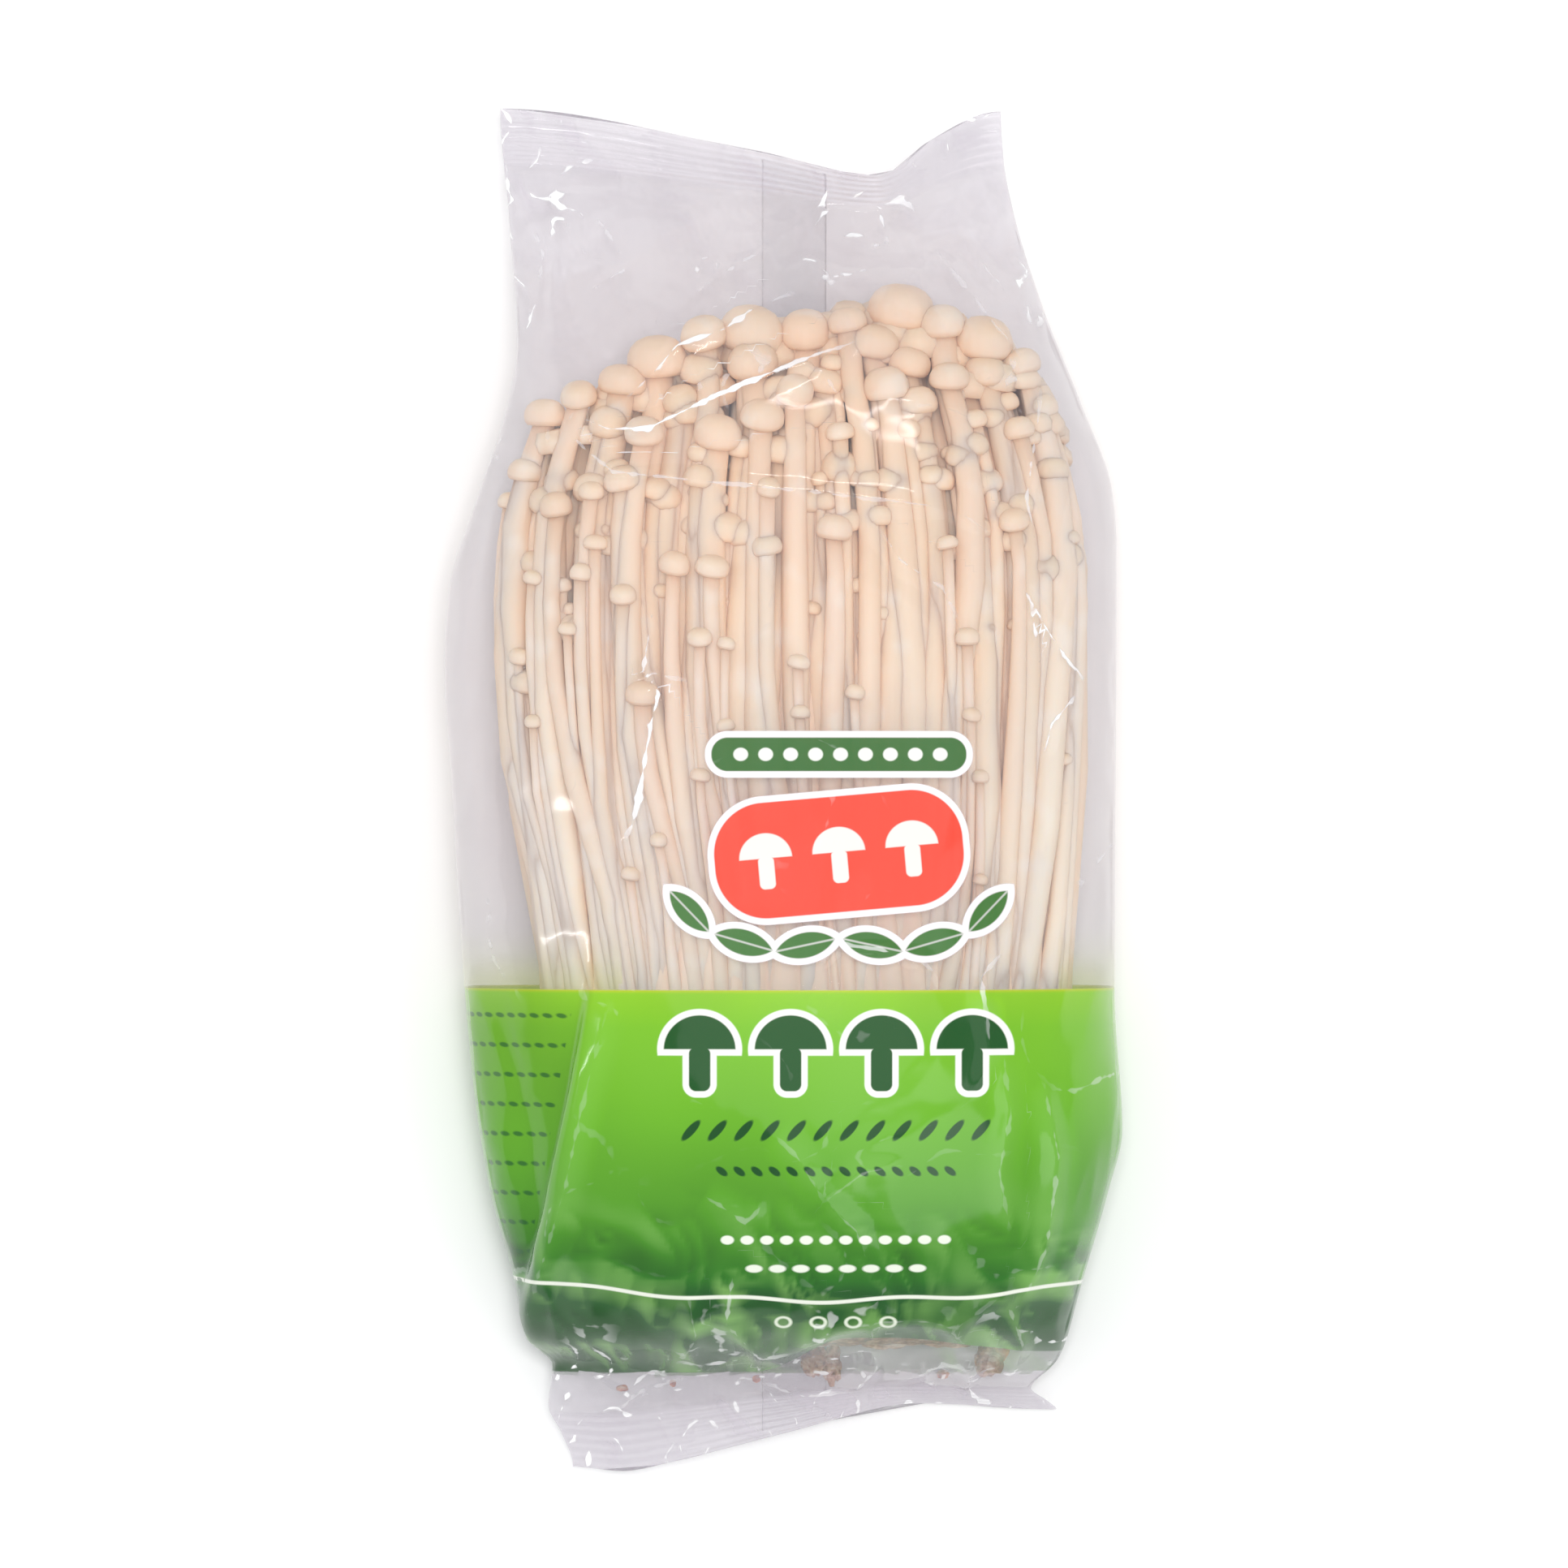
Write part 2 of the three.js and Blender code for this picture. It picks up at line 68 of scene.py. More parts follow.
UPPER_FILM = [
    (-95, 7.2), (-87, 7.6), (-84.5, 9.8), (-82, 13.6), (-79.5, 20), (-77, 27), (-74, 33),
    (-70, 37.5), (-62, 43.5), (-50, 48), (-30, 50.4), (10, 50.4), (38, 46), (55, 41), (64, 36),
    (71, 29.5), (77, 21.5), (82, 15.6), (87, 12), (95, 11.8),
]
LOWER_FILM = [
    (-95, 6), (-87, 6.4), (-83, 5.4), (-78, 3.4), (-70, 1.4), (-62, 0.6), (40, 0.6),
    (55, 1.4), (66, 3.6), (74, 6.4), (82, 9.2), (87, 10.6), (95, 10.6),
]
TOP_SHORTFALL = [(-1, 0), (0, 5.9), (0.5, 9.7), (0.6, 8.3), (0.69, 5.2), (1, 0.4)]
TOP_LIFT = [(-1, 0), (-0.4, 0.5), (0.45, 9), (0.75, 3), (1, 0)]
BOTTOM_SHORTFALL = [(-1, 0.6), (-0.8, 0), (-0.58, 1.4), (-0.13, 5.3), (0.45, 9.3), (1, 8.5)]
BOTTOM_LIFT = [(-1, -2), (-0.5, 0), (0, -1.5), (0.5, -4.8), (1, -4)]
TOP_BEND, BOTTOM_BEND = 35, 23
FIN_MIDDLE, FIN_WIDTH, FIN_HALF_LENGTH = 1.5, 9, 93.5
SEAL_PINCH = 0.45  # how far each side of the film is pressed in at the seals
GLOW_TOP, BAND_TOP, BAND_END = -16.5, -27.1, -81  # the printed band and the faint glow above it
BADGE_X, BAND_X = 7.6, 7.2  # the middles of the two prints

# The bunch, as in its solid.
ROOT_END, PAD_END = -68, -76.5
CORE = [(-68, 0.9), (-40, 0.84), (-8, 0.72), (16, 0.6), (32, 0.46), (44, 0.3), (53, 0.1)]
ROOT_GATHER = 0.9
CLEARANCE = 2
BUNCH_LEFT = [
    (-70, -31), (-45, -34), (-14, -37), (0, -40), (20, -41), (36, -40.2), (46, -37.6),
    (56, -34.6),
]
BUNCH_RIGHT = [(-70, 35.5), (-58, 38.5), (-27, 42.4), (0, 43.6), (30, 43.4), (45, 40.6), (62, 35.4)]
BUNCH_ROUNDING = 2.4
CROWN = [
    (-38, 50), (-32, 55), (-22, 59.5), (-14, 63), (-8, 67), (3, 67.5), (14, 71), (20, 69.5),
    (27, 66.5), (33, 64.5), (38, 57), (43, 44),
]
UPPER_CAPS = [
    (16.1, 67.6, 8.8), (9, 65.4, 5.1), (22, 65.4, 6.5), (-4.6, 64.5, 8.7), (3, 64.5, 6.8),
    (-10.8, 63.8, 6.2), (27.6, 63.4, 7.7), (12.4, 62.6, 6.5), (-17.4, 60.6, 8.1),
    (33.4, 59.7, 5.9), (-4.3, 60, 7), (27.5, 58.6, 6.1), (-11.4, 59, 6.1), (22.5, 57.6, 5.6),
    (13.9, 56.6, 6.1), (-22.4, 57.2, 6.3), (5.3, 57, 5), (1.3, 55.8, 5.2), (-28, 55.2, 5.2),
    (18.3, 54.2, 5.2), (-13.9, 54.6, 5.2), (-33.2, 52.6, 5.6), (35.6, 53.6, 4.5),
    (26.2, 51.6, 3.4), (-23.8, 51.4, 5.6), (-3, 52.3, 5.9), (32.2, 50.4, 4.1),
    (17.1, 50.2, 3.2), (11.7, 50.6, 2.9), (-18.8, 50, 5.4), (-8.9, 50, 6.3), (7.8, 49.8, 3.8),
    (-0.3, 47.4, 5.9), (-35.3, 44.6, 5), (-21.6, 43.4, 5.2), (-11.4, 43.6, 4.3),
    (11.7, 43.2, 3.2), (-2.1, 42, 3.4), (-26.2, 41.6, 3.4), (-37.6, 40.4, 3.4),
    (-30.9, 39.8, 4.7), (31.6, 37.7, 4.1), (6.8, 36.5, 5), (39.4, 35.2, 2.8),
    (-25.8, 34.4, 3.2), (22.5, 34.3, 2.9), (-2.1, 34, 4.3), (-15, 31.6, 4.3), (-9.8, 31.2, 4.5),
    (-27.8, 30.3, 3.2), (-34.5, 29.6, 2.6), (-21.9, 27.3, 3.8), (-29.6, 22.5, 2.6),
    (-11.4, 21.4, 3.5), (25.2, 21.4, 3.2), (-7.9, 20.4, 2.6), (-36.4, 18.8, 2.9),
    (2, 17.9, 3), (-19.3, 13.8, 4.5), (9.7, 13.8, 2.6), (2.3, 11, 2.6), (25.7, 10.7, 2.5),
    (-34.4, 9.8, 2.4), (-7.8, 9.2, 2.4), (-11.4, 2.4, 2.8), (26.9, 2.2, 2.4),
    (-17.2, -6.4, 2.5), (-21.1, -11.1, 2.5), (26.9, -11.9, 2.2), (38.6, 4.6, 2.4),
]
LOWER_COUNT, INNER_COUNT = 30, 10
# The caps whose stems come from farther aside, with how far, as a share of the half width.
LEANING = {
    (-11.4, 43.6): 0.24, (-21.6, 43.4): 0.2, (-9.8, 31.2): 0.12, (-19.3, 13.8): 0.1,
    (25.7, 10.7): -0.14, (22.5, 57.6): -0.16, (25.2, 21.4): -0.1, (33.4, 59.7): -0.12,
    (-30.9, 39.8): 0.1, (-27.8, 30.3): 0.12, (5.3, 57): 0.1,
}
FILLING_COUNT, SECOND_COUNT, FLANK_COUNT = 110, 140, 56  # the stems packed between those of the solid
GOLDEN, PLASTIC = 0.618034, 0.754878

# Sharp folds in the front of the film: (x, y) points, height, half width and how much painted glint and
# sheen they carry.
FOLDS = [
    ([(-21.3, 53.7), (-17, 57.8), (-14.5, 60.8), (-8.3, 63.1), (-4.6, 65.8), (1.9, 68.5)],
     0.7, 2.2, 0.9),
    ([(-27.2, 51), (-23.8, 49.4), (-18.3, 49.4), (-13.3, 51.9), (-10.1, 53.5), (-2.8, 56.5),
      (4.6, 59.6), (10.8, 62)], 0.9, 2.4, 1),
    ([(-28.2, 52.5), (-30, 49.8), (-26.8, 46.6), (-23.2, 43.6), (-10.8, 42.3), (7.8, 40.4),
      (23.2, 38.6), (29.4, 34.3)], 0.45, 1.6, 0.45),
    ([(35.3, 56), (33.7, 44.8), (33.1, 39.8), (34.4, 34.3)], 0.6, 1.8, 0.6),
    ([(32.1, 28.8), (34.5, 24.1), (36.3, 21.2), (38.8, 17.6), (41.4, 14.8)], 0.8, 2, 1),
    ([(33.6, 24.8), (34.4, 20.6)], 0.4, 1.2, 1),
    ([(39.9, 13.4), (36.3, 9.2), (35.4, 5.2)], 0.6, 1.8, 1),
    ([(13, 36), (16, 31.4), (21.6, 27.6), (24, 22.8)], 0.4, 1.6, 0.4),
    ([(-17.8, 24.5), (-19, 16.5), (-16.9, 13.4), (-17.9, 9.4), (-19.4, 0.4), (-20.5, -4.7),
      (-21.8, -6.8)], 0.55, 1.8, 0.95),
    ([(-21.4, 14.6), (-17.4, 16), (-12.6, 14.8)], 0.3, 1.2, 0.4),
    ([(4.6, -24.1), (7.2, -20.8), (13, -21.6), (18.4, -22.9), (21.5, -25.4)], 0.6, 1.8, 0.5),
    ([(31.2, -20.5), (26.9, -25.4), (28.2, -35.6), (27, -40)], 0.5, 1.8, 0.55),
    ([(-26.1, 79.3), (-22.4, 74.2)], 0.35, 1.2, 0.5),
    ([(-26.6, 68.8), (-19.7, 73.4)], 0.4, 1.4, 0.5),
    ([(-13.4, 67.7), (-6.4, 72.5), (-1.6, 75)], 0.5, 1.6, 0.5),
    ([(20, 76), (27, 66), (33, 59)], 0.5, 1.8, 0.4),
    ([(-34.6, 78), (-33, 74), (-33.6, 70)], 0.4, 1.4, 0.5),
    ([(-32.2, 84), (-31.7, 74), (-31.6, 63)], 0.35, 1.2, 0.2),
    ([(-10.9, -55.2), (-5, -58.8), (-3, -56.6)], 0.5, 2, 0.45),
    ([(-7, -66.7), (-7.9, -73.3)], 0.6, 2, 0.9),
    ([(5.6, -56), (2, -50), (-1, -47)], 0.4, 2, 0.3),
    ([(5.6, -56), (10, -60), (12, -66)], 0.5, 2, 0.4),
    ([(5.6, -56), (11, -52), (16, -51)], 0.35, 2, 0.3),
    ([(35.5, -40), (37.4, -50), (36, -62), (33, -70)], 0.6, 2.2, 0.55),
    ([(30, -36), (31, -44), (29.4, -52), (31, -60)], 0.4, 2, 0.35),
    ([(-24, -30), (-27, -42), (-29.5, -54), (-33, -66), (-35, -73)], 0.7, 2, 0.3),
    ([(-13, -69), (-12, -75), (-14.6, -79)], 0.7, 2, 0.4),
    ([(-7.9, -73), (-3, -78), (1, -77)], 0.7, 2, 0.7),
    ([(1, -77), (7, -73.4), (14, -72.4), (24, -73), (30, -69)], 1, 2.4, 0.4),
    ([(22, -72.6), (27, -78), (25, -84)], 0.8, 2, 0.5),
    ([(30, -69), (33, -76), (31, -82)], 0.8, 2, 0.5),
    ([(12, -73), (13, -80), (9, -84)], 0.7, 1.8, 0.6),
    ([(16, -82), (22, -79), (28, -80)], 0.6, 1.8, 0.6),
    ([(-26, -80), (-20, -82.6), (-12, -81)], 0.6, 2, 0.5),
    ([(-20, -82.6), (-23, -86)], 0.5, 1.6, 0.5),
    ([(-4, -82), (3, -84.6), (10, -83.8)], 0.6, 1.8, 0.6),
]


# ---------------------------------------------------------------- measuring


def along(table, at):
    """A value that runs smoothly through a table of stations, with no overshoot."""
    stations, values = np.array(table, float).T
    rise = np.diff(values) / np.diff(stations)
    slope = np.zeros(len(stations))
    turning = rise[:-1] * rise[1:] <= 0
    total = np.where(turning, 1, rise[:-1] + rise[1:])
    slope[1:-1] = np.where(turning, 0, 2 * rise[:-1] * rise[1:] / total)
    at = np.clip(at, stations[0], stations[-1])
    k = np.clip(np.searchsorted(stations, at, side="right") - 1, 0, len(stations) - 2)
    step = stations[k + 1] - stations[k]
    t = (at - stations[k]) / step
    ends = values[k] * (1 + 2 * t) * (1 - t) ** 2 + values[k + 1] * t * t * (3 - 2 * t)
    return ends + step * t * (1 - t) * (slope[k] * (1 - t) - slope[k + 1] * t)


def dome(across, rounding):
    return np.maximum(1 - np.abs(across) ** rounding, 0) ** (1 / rounding)


def eased(value, low, high):
    """0 below low, 1 above high, and a soft step between them."""
    t = np.clip((value - low) / (high - low), 0, 1)
    return t * t * (3 - 2 * t)


def swell(x, y, size, seed):
    """Soft random swells from -1 to 1, about size across."""
    turns = np.random.default_rng(seed).uniform(0, 2 * np.pi, (64, 64))
    u, v = x / size, y / size
    i, j = np.floor(u).astype(int), np.floor(v).astype(int)
    fu, fv = u - i, v - j

    def corner(a, b):
        turn = turns[(i + a) % 64, (j + b) % 64]
        return np.cos(turn) * (fu - a) + np.sin(turn) * (fv - b)

    su, sv = fu**3 * (fu * (fu * 6 - 15) + 10), fv**3 * (fv * (fv * 6 - 15) + 10)
    low = corner(0, 0) * (1 - su) + corner(1, 0) * su
    high = corner(0, 1) * (1 - su) + corner(1, 1) * su
    return 1.5 * (low * (1 - sv) + high * sv)


def wander(x, y, size, seed):
    """Swells whose zero lines wander and meet, as the folds of film that was squeezed and let go."""
    return swell(
        x + 0.5 * size * swell(x, y, 1.7 * size, seed + 1),
        y + 0.5 * size * swell(y, x, 1.7 * size, seed + 2), size, seed,
    )


def crumple(x, y, size, seed):
    """Sharp ridges along those lines."""
    return 0.6 - 2 * np.abs(wander(x, y, size, seed))


def gap_to_line(x, y, line):
    """How far a point lies to the one side (+) or the other (-) of a line, and how near its middle."""
    nearest, fade = np.full(x.shape, 1e3), np.zeros(x.shape)
    for k, ((ax, ay), (bx, by)) in enumerate(zip(line, line[1:])):
        dx, dy = bx - ax, by - ay
        t = np.clip(((x - ax) * dx + (y - ay) * dy) / (dx * dx + dy * dy), 0, 1)
        gap = np.hypot(x - ax - t * dx, y - ay - t * dy)
        here, closer = (k + t) / (len(line) - 1), gap < np.abs(nearest)
        fade = np.where(closer, np.sqrt(np.clip(4 * here * (1 - here), 0, 1)), fade)
        nearest = np.where(closer, gap * np.where(dx * (y - ay) > dy * (x - ax), 1, -1), nearest)
    return nearest, fade


def film_point(station, across, upper_side):
    """Where the flat, uncreased film is, from the station y and how far it is across."""
    left, right = along(LEFT_EDGE, station), along(RIGHT_EDGE, station)
    upper, lower = along(UPPER_FILM, station), along(LOWER_FILM, station)
    middle = lower + (upper - lower) * SIDE_HEIGHT
    flatness = np.clip((np.abs(station) - HALF_LENGTH + 2 * SEAL_WIDTH) / SEAL_WIDTH, 0, 1) ** 2
    rounding = np.where(upper_side, TOP_ROUNDING, BACK_ROUNDING)
    rounding = rounding + (SEAL_ROUNDING - rounding) * flatness
    top = np.clip((station - HALF_LENGTH + TOP_BEND) / TOP_BEND, 0, 1) ** 2
    bottom = np.clip((BOTTOM_BEND - HALF_LENGTH - station) / BOTTOM_BEND, 0, 1) ** 2
    x = (left + right) / 2 + (right - left) / 2 * across
    y = station - top * along(TOP_SHORTFALL, across) + bottom * along(BOTTOM_SHORTFALL, across)
    z = middle + (np.where(upper_side, upper, lower) - middle) * dome(across, rounding)
    z = z + top * along(TOP_LIFT, across) + bottom * along(BOTTOM_LIFT, across)
    return np.stack([x, y, z], axis=-1)


def in_seal(station):
    """0 in the bag and 1 in the pressed seals at its ends."""
    return np.clip((np.abs(station) - 86.4) / 0.8, 0, 1)


def placed(u, v, y):
    """A point of the bunch: u across it and v through it, from -1 to 1, at height y."""
    left, right = along(BUNCH_LEFT, y), along(BUNCH_RIGHT, y)
    lower, upper = along(LOWER_FILM, y), along(UPPER_FILM, y)
    x = (left + right) / 2 + (right - left) / 2 * u
    z = (lower + upper) / 2 + ((upper - lower) / 2 - CLEARANCE) * v
    return np.stack([x, np.broadcast_to(y, np.shape(x)), z], axis=-1)


def seeded(seed):
    """The same run of numbers from 0 to 1 as the solid's."""
    while True:
        seed = (seed * 1664525 + 1013904223) % 4294967296
        yield seed / 4294967296


# ---------------------------------------------------------------- shaping meshes


def nothing_selected():
    if bpy.context.object and bpy.context.object.mode != "OBJECT":
        bpy.ops.object.mode_set(mode="OBJECT")
    bpy.ops.object.select_all(action="DESELECT")


def positions(piece):
    spots = np.empty(3 * len(piece.data.vertices))
    piece.data.vertices.foreach_get("co", spots)
    return spots.reshape(-1, 3)


def move_to(piece, spots):
    piece.data.vertices.foreach_set("co", np.ascontiguousarray(spots, dtype=np.float64).ravel())
    piece.data.update()


def keep_number(piece, name, values):
    layer = piece.data.attributes.new(name, "FLOAT", "POINT")
    layer.data.foreach_set("value", np.ascontiguousarray(values, dtype=np.float32))


def joined(pieces, name):
    nothing_selected()
    for piece in pieces:
        piece.select_set(True)
    bpy.context.view_layer.objects.active = pieces[0]
    bpy.ops.object.join()
    pieces[0].name = pieces[0].data.name = name
    return pieces[0]


def faces_outward(piece):
    """Turns a closed piece's faces outward, if they face inward, and shades it smooth."""
    spots = positions(piece)
    corners = np.empty(3 * len(piece.data.loop_triangles), int)
    piece.data.loop_triangles.foreach_get("vertices", corners)
    a, b, c = (spots[corners.reshape(-1, 3)[:, k]] for k in range(3))
    nothing_selected()
    piece.select_set(True)
    bpy.context.view_layer.objects.active = piece
    if np.einsum("ij,ij->", a, np.cross(b, c)) < 0:
        bpy.ops.object.mode_set(mode="EDIT")
        bpy.ops.mesh.select_all(action="SELECT")
        bpy.ops.mesh.flip_normals()
        bpy.ops.object.mode_set(mode="OBJECT")
    bpy.ops.object.shade_smooth()


def skin(name, grid, flat_ends=False, **numbers):
    """A closed skin over rows of rings of points, its ends drawn to a point or shut by one face.

    The number of points in a ring is a multiple of four, because the sphere's own columns then
    start at a whole number.
    """
    rows, around = grid.shape[:2]
    nothing_selected()
    bpy.ops.mesh.primitive_uv_sphere_add(segments=around, ring_count=rows + 1, radius=1)
    piece = bpy.context.object
    piece.name = piece.data.name = name
    spots = positions(piece)
    column = np.round(np.arctan2(spots[:, 1], spots[:, 0]) / (2 * np.pi) * around).astype(int) % around
    row = np.round(np.arccos(np.clip(spots[:, 2], -1, 1)) / np.pi * (rows + 1)).astype(int)

    def closed(values):
        ends = [np.repeat(values[k].mean(0, keepdims=True), around, axis=0)[None] for k in (0, -1)]
        return np.concatenate([ends[0], values, ends[1]])[row, column]

    move_to(piece, closed(grid) * MM)
    for key, values in numbers.items():
        keep_number(piece, key, closed(values))
    if flat_ends:
        bpy.ops.object.mode_set(mode="EDIT")
        bpy.ops.mesh.select_all(action="DESELECT")
        bpy.ops.object.mode_set(mode="OBJECT")
        for point in np.flatnonzero((row == 0) | (row == rows + 1)):
            piece.data.vertices[int(point)].select = True
        bpy.ops.object.mode_set(mode="EDIT")
        bpy.ops.mesh.select_mode(type="VERT")
        bpy.ops.mesh.dissolve_verts()
        bpy.ops.object.mode_set(mode="OBJECT")
    faces_outward(piece)
    return piece


# ---------------------------------------------------------------- finishes


class Amount:
    """A number that varies over a surface, which Python's own arithmetic works on."""

    def __init__(self, finish, socket):
        self.finish, self.socket = finish, socket

    def worked(self, operation, *others):
        values = dict(enumerate((self, *others)))
        node = self.finish.add("Math", {"operation": operation}, values)
        return Amount(self.finish, node.outputs[0])

    def __add__(self, other):
        return self.worked("ADD", other)

    __radd__ = __add__

    def __mul__(self, other):
        return self.worked("MULTIPLY", other)

    __rmul__ = __mul__

    def __sub__(self, other):
        return self.worked("SUBTRACT", other)

    def __rsub__(self, other):
        return (self * -1) + other

    def __truediv__(self, other):
        return self.worked("DIVIDE", other)

    def __pow__(self, other):
        return self.worked("POWER", other)

    def __mod__(self, other):
        return self.worked("FLOORED_MODULO", other)

    def __abs__(self):
        return self.worked("ABSOLUTE")

    def least(self, other):
        return self.worked("MINIMUM", other)

    def most(self, other):
        return self.worked("MAXIMUM", other)

    def sine(self):
        return self.worked("SINE")

    def held(self):
        return self.least(1).most(0)

    def step(self, low, high):
        """0 at low, 1 at high and soft between them."""
        node = self.finish.add(
            "MapRange", {"interpolation_type": "SMOOTHSTEP"},
            {"Value": self, "From Min": low, "From Max": high},
        )
        return Amount(self.finish, node.outputs["Result"])


class Finish:
    """A material and the nodes that make it."""

    def __init__(self, name):
        self.material = bpy.data.materials.new(name)
        self.material.use_nodes = True
        self.tree = self.material.node_tree
        self.tree.nodes.clear()

    def add(self, kind, settings=None, values=None):
        """One node: its settings first, then the values or the links of its sockets."""
        node = self.tree.nodes.new("ShaderNode" + kind)
        for name, setting in (settings or {}).items():
            if name == "stops":
                ramp = node.color_ramp.elements
                while len(ramp) < len(setting):
                    ramp.new(1)
                for stop, (place, colour) in zip(ramp, setting):
                    stop.position, stop.color = place, colour
            else:
                setattr(node, name, setting)
        for name, value in (values or {}).items():
            value = value.socket if isinstance(value, Amount) else value
            if isinstance(value, bpy.types.NodeSocket):
                self.tree.links.new(value, node.inputs[name])
            else:
                node.inputs[name].default_value = value
        return node

    def place(self):
        """The surface's own x, y and z in millimetres."""
        self.spot = self.add("TexCoord").outputs["Object"]
        parts = self.add("SeparateXYZ", values={0: self.spot})
        return self.spot, *(Amount(self, out) * 1000 for out in parts.outputs)

    def kept(self, name):
        return Amount(self, self.add("Attribute", {"attribute_name": name}).outputs["Fac"])

    def noise(self, spot, scale, detail=2.0, stretch=None):
        if stretch:
            spot = self.add("Mapping", values={"Vector": spot, "Scale": stretch}).outputs[0]
        node = self.add("TexNoise", values={"Vector": spot, "Scale": scale, "Detail": detail})
        return Amount(self, node.outputs["Fac"])

    def blend(self, share, under, over):
        node = self.add("Mix", {"data_type": "RGBA"}, {0: share, 6: under, 7: over})
        return node.outputs[2]

    def ramp(self, share, tones):
        """Colours along a share from 0 to 1, each given as it looks on a screen."""
        stops = [(place, colour(*tone)) for place, tone in tones]
        return self.add("ValToRGB", {"stops": stops}, {0: share}).outputs["Color"]

    def bump(self, height, strength, distance):
        return self.add(
            "Bump", values={"Height": height, "Strength": strength, "Distance": distance}
        ).outputs["Normal"]

    def done(self, shader):
        self.add("OutputMaterial", values={"Surface": shader.outputs[0]})
        return self.material


def colour(red, green, blue):
    """A colour as it looks on a screen, from 0 to 255, as the renderer counts it."""
    channels = [c / 255 for c in (red, green, blue)]
    return (*(c / 12.92 if c <= 0.04045 else ((c + 0.055) / 1.055) ** 2.4 for c in channels), 1)


HAZE, WHITE_EDGE = colour(216, 209, 218), colour(250, 244, 246)
PALE_MARK, DARK_MARK = colour(238, 244, 228), colour(24, 78, 32)


def inside(edge, blur=0.09):
    """1 where an outline's signed distance in millimetres is below 0, with a crisp edge."""
    node = edge.finish.add(
        "MapRange", values={"Value": edge, "From Min": blur, "From Max": -blur}
    )
    return Amount(edge.finish, node.outputs["Result"])


def oval(x, y, half_x, half_y):
    """A rough signed distance to an oval round 0, 0."""
    reach = ((x / half_x) ** 2 + (y / half_y) ** 2) ** 0.5
    return (reach - 1) * min(half_x, half_y)


def block(x, y, half_x, half_y, corner):
    """A signed distance to a rounded oblong round 0, 0."""
    over_x = (abs(x) - (half_x - corner)).most(0)
    over_y = (abs(y) - (half_y - corner)).most(0)
    return (over_x**2 + over_y**2) ** 0.5 - corner


def turned(x, y, at_x, at_y, degrees):
    c, s = math.cos(math.radians(degrees)), math.sin(math.radians(degrees))
    return (x - at_x) * c + (y - at_y) * s, (y - at_y) * c - (x - at_x) * s


def mushroom_sign(x, y, size):
    """A signed distance to a plain mushroom sign, its cap over a short stem."""
    cap = oval(x, y, size, 0.95 * size).most(y * -1)
    stem = block(x, y + 0.55 * size, 0.3 * size, 0.62 * size, 0.2 * size)
    return cap.least(stem)


def film_shader(f, ink=HAZE, share=0.0, tint=(0.97, 0.965, 0.975, 1), mirror=0.04):
    """Film that is see-through but for its milky veil, its print and the glints painted white along its
    folds and creases.
    """
    # Painted glints: thin, broken white lines along the folds and the creases, painted into the film's
    # colour and cover.
    thin = f.noise(f.spot, 420, 1) * 1.5 - 0.72
    glint = inside(abs(f.kept("fold")) - thin - f.kept("fold_shine") * 0.2, 0.07) * f.kept("fold_shine")
    glint = glint.most(inside(abs(f.kept("crease")) - thin + 0.04, 0.07) * f.kept("crease_shine"))
    solid = f.add("BsdfPrincipled", values={
        "Base Color": f.blend(glint, ink, (1, 1, 1, 1)), "Roughness": 0.34, "Specular IOR Level": 0,
    })
    open_film = f.add("BsdfTransparent", values={"Color": tint})
    grazing = Amount(f, f.add("LayerWeight", values={"Blend": 0.5}).outputs["Facing"]) ** 4
    hidden = (f.kept("haze") + grazing * 0.3).most(share).most(glint)
    seen = f.add("MixShader", values={
        0: hidden, 1: open_film.outputs[0], 2: solid.outputs[0],
    })
    gloss = f.add("BsdfGlossy", values={"Color": (1, 1, 1, 1), "Roughness": 0.1})
    return f.done(f.add("MixShader", values={
        0: grazing * 0.7 + mirror, 1: seen.outputs[0], 2: gloss.outputs[0],
    }))


def clear_film():
    f = Finish("clear_film")
    f.place()
    return film_shader(f)


def seam_film():
    """The two thin layers of the back seam, which lie flat on each other."""
    f = Finish("seam_film")
    f.place()
    return film_shader(f, tint=(0.99, 0.99, 0.993, 1), mirror=0.015)


def band_print(f, x, y):
    """The green band: its colours down the bag, its wavy rule and how much it hides."""
    foot = x.step(-4, 9) * 5.4 - x.step(14, 38) * 2.4 - 80.8
    below_top = inside(y - BAND_TOP, 0.15)
    band = below_top * y.step(foot - 0.15, foot + 0.15)
    glow = (1 - y.step(-27, -18)) * 0.28
    ink = f.ramp(((y + 27) / -53).held(), [
        (0, (200, 200, 44)), (0.012, (140, 200, 40)), (0.1, (122, 190, 40)), (0.35, (106, 177, 40)),
        (0.6, (80, 150, 38)), (0.755, (46, 116, 34)), (0.79, (36, 92, 38)), (1, (32, 78, 34)),
    ])
    # Painted light and shade from the film's tone: paler green on its sheens and lit facets, and darker
    # green on its shaded facets and on the gusset's side panel.
    ink = f.blend((f.kept("tone") - 0.5).most(0) * 0.7, ink, colour(150, 205, 110))
    ink = f.blend((f.kept("tone") * -1 + 0.5).most(0) * 0.9, ink, colour(20, 66, 22))
    faint = f.blend(glow * 2.5, HAZE, colour(206, 214, 110))
    ink = f.blend(below_top, faint, ink)
    bow = (x - 6) / 33
    rule = y + 69.9 - bow * bow * 1.6 + (x * 0.3).sine() * 0.3
    ink = f.blend(inside(abs(rule) - 0.26), ink, colour(240, 244, 230))
    return ink, (band * 0.97).most(glow * (1 - below_top))


def plain_band_film():
    f = Finish("plain_band_film")
    _, x, y, _ = f.place()
    return film_shader(f, *band_print(f, x, y))


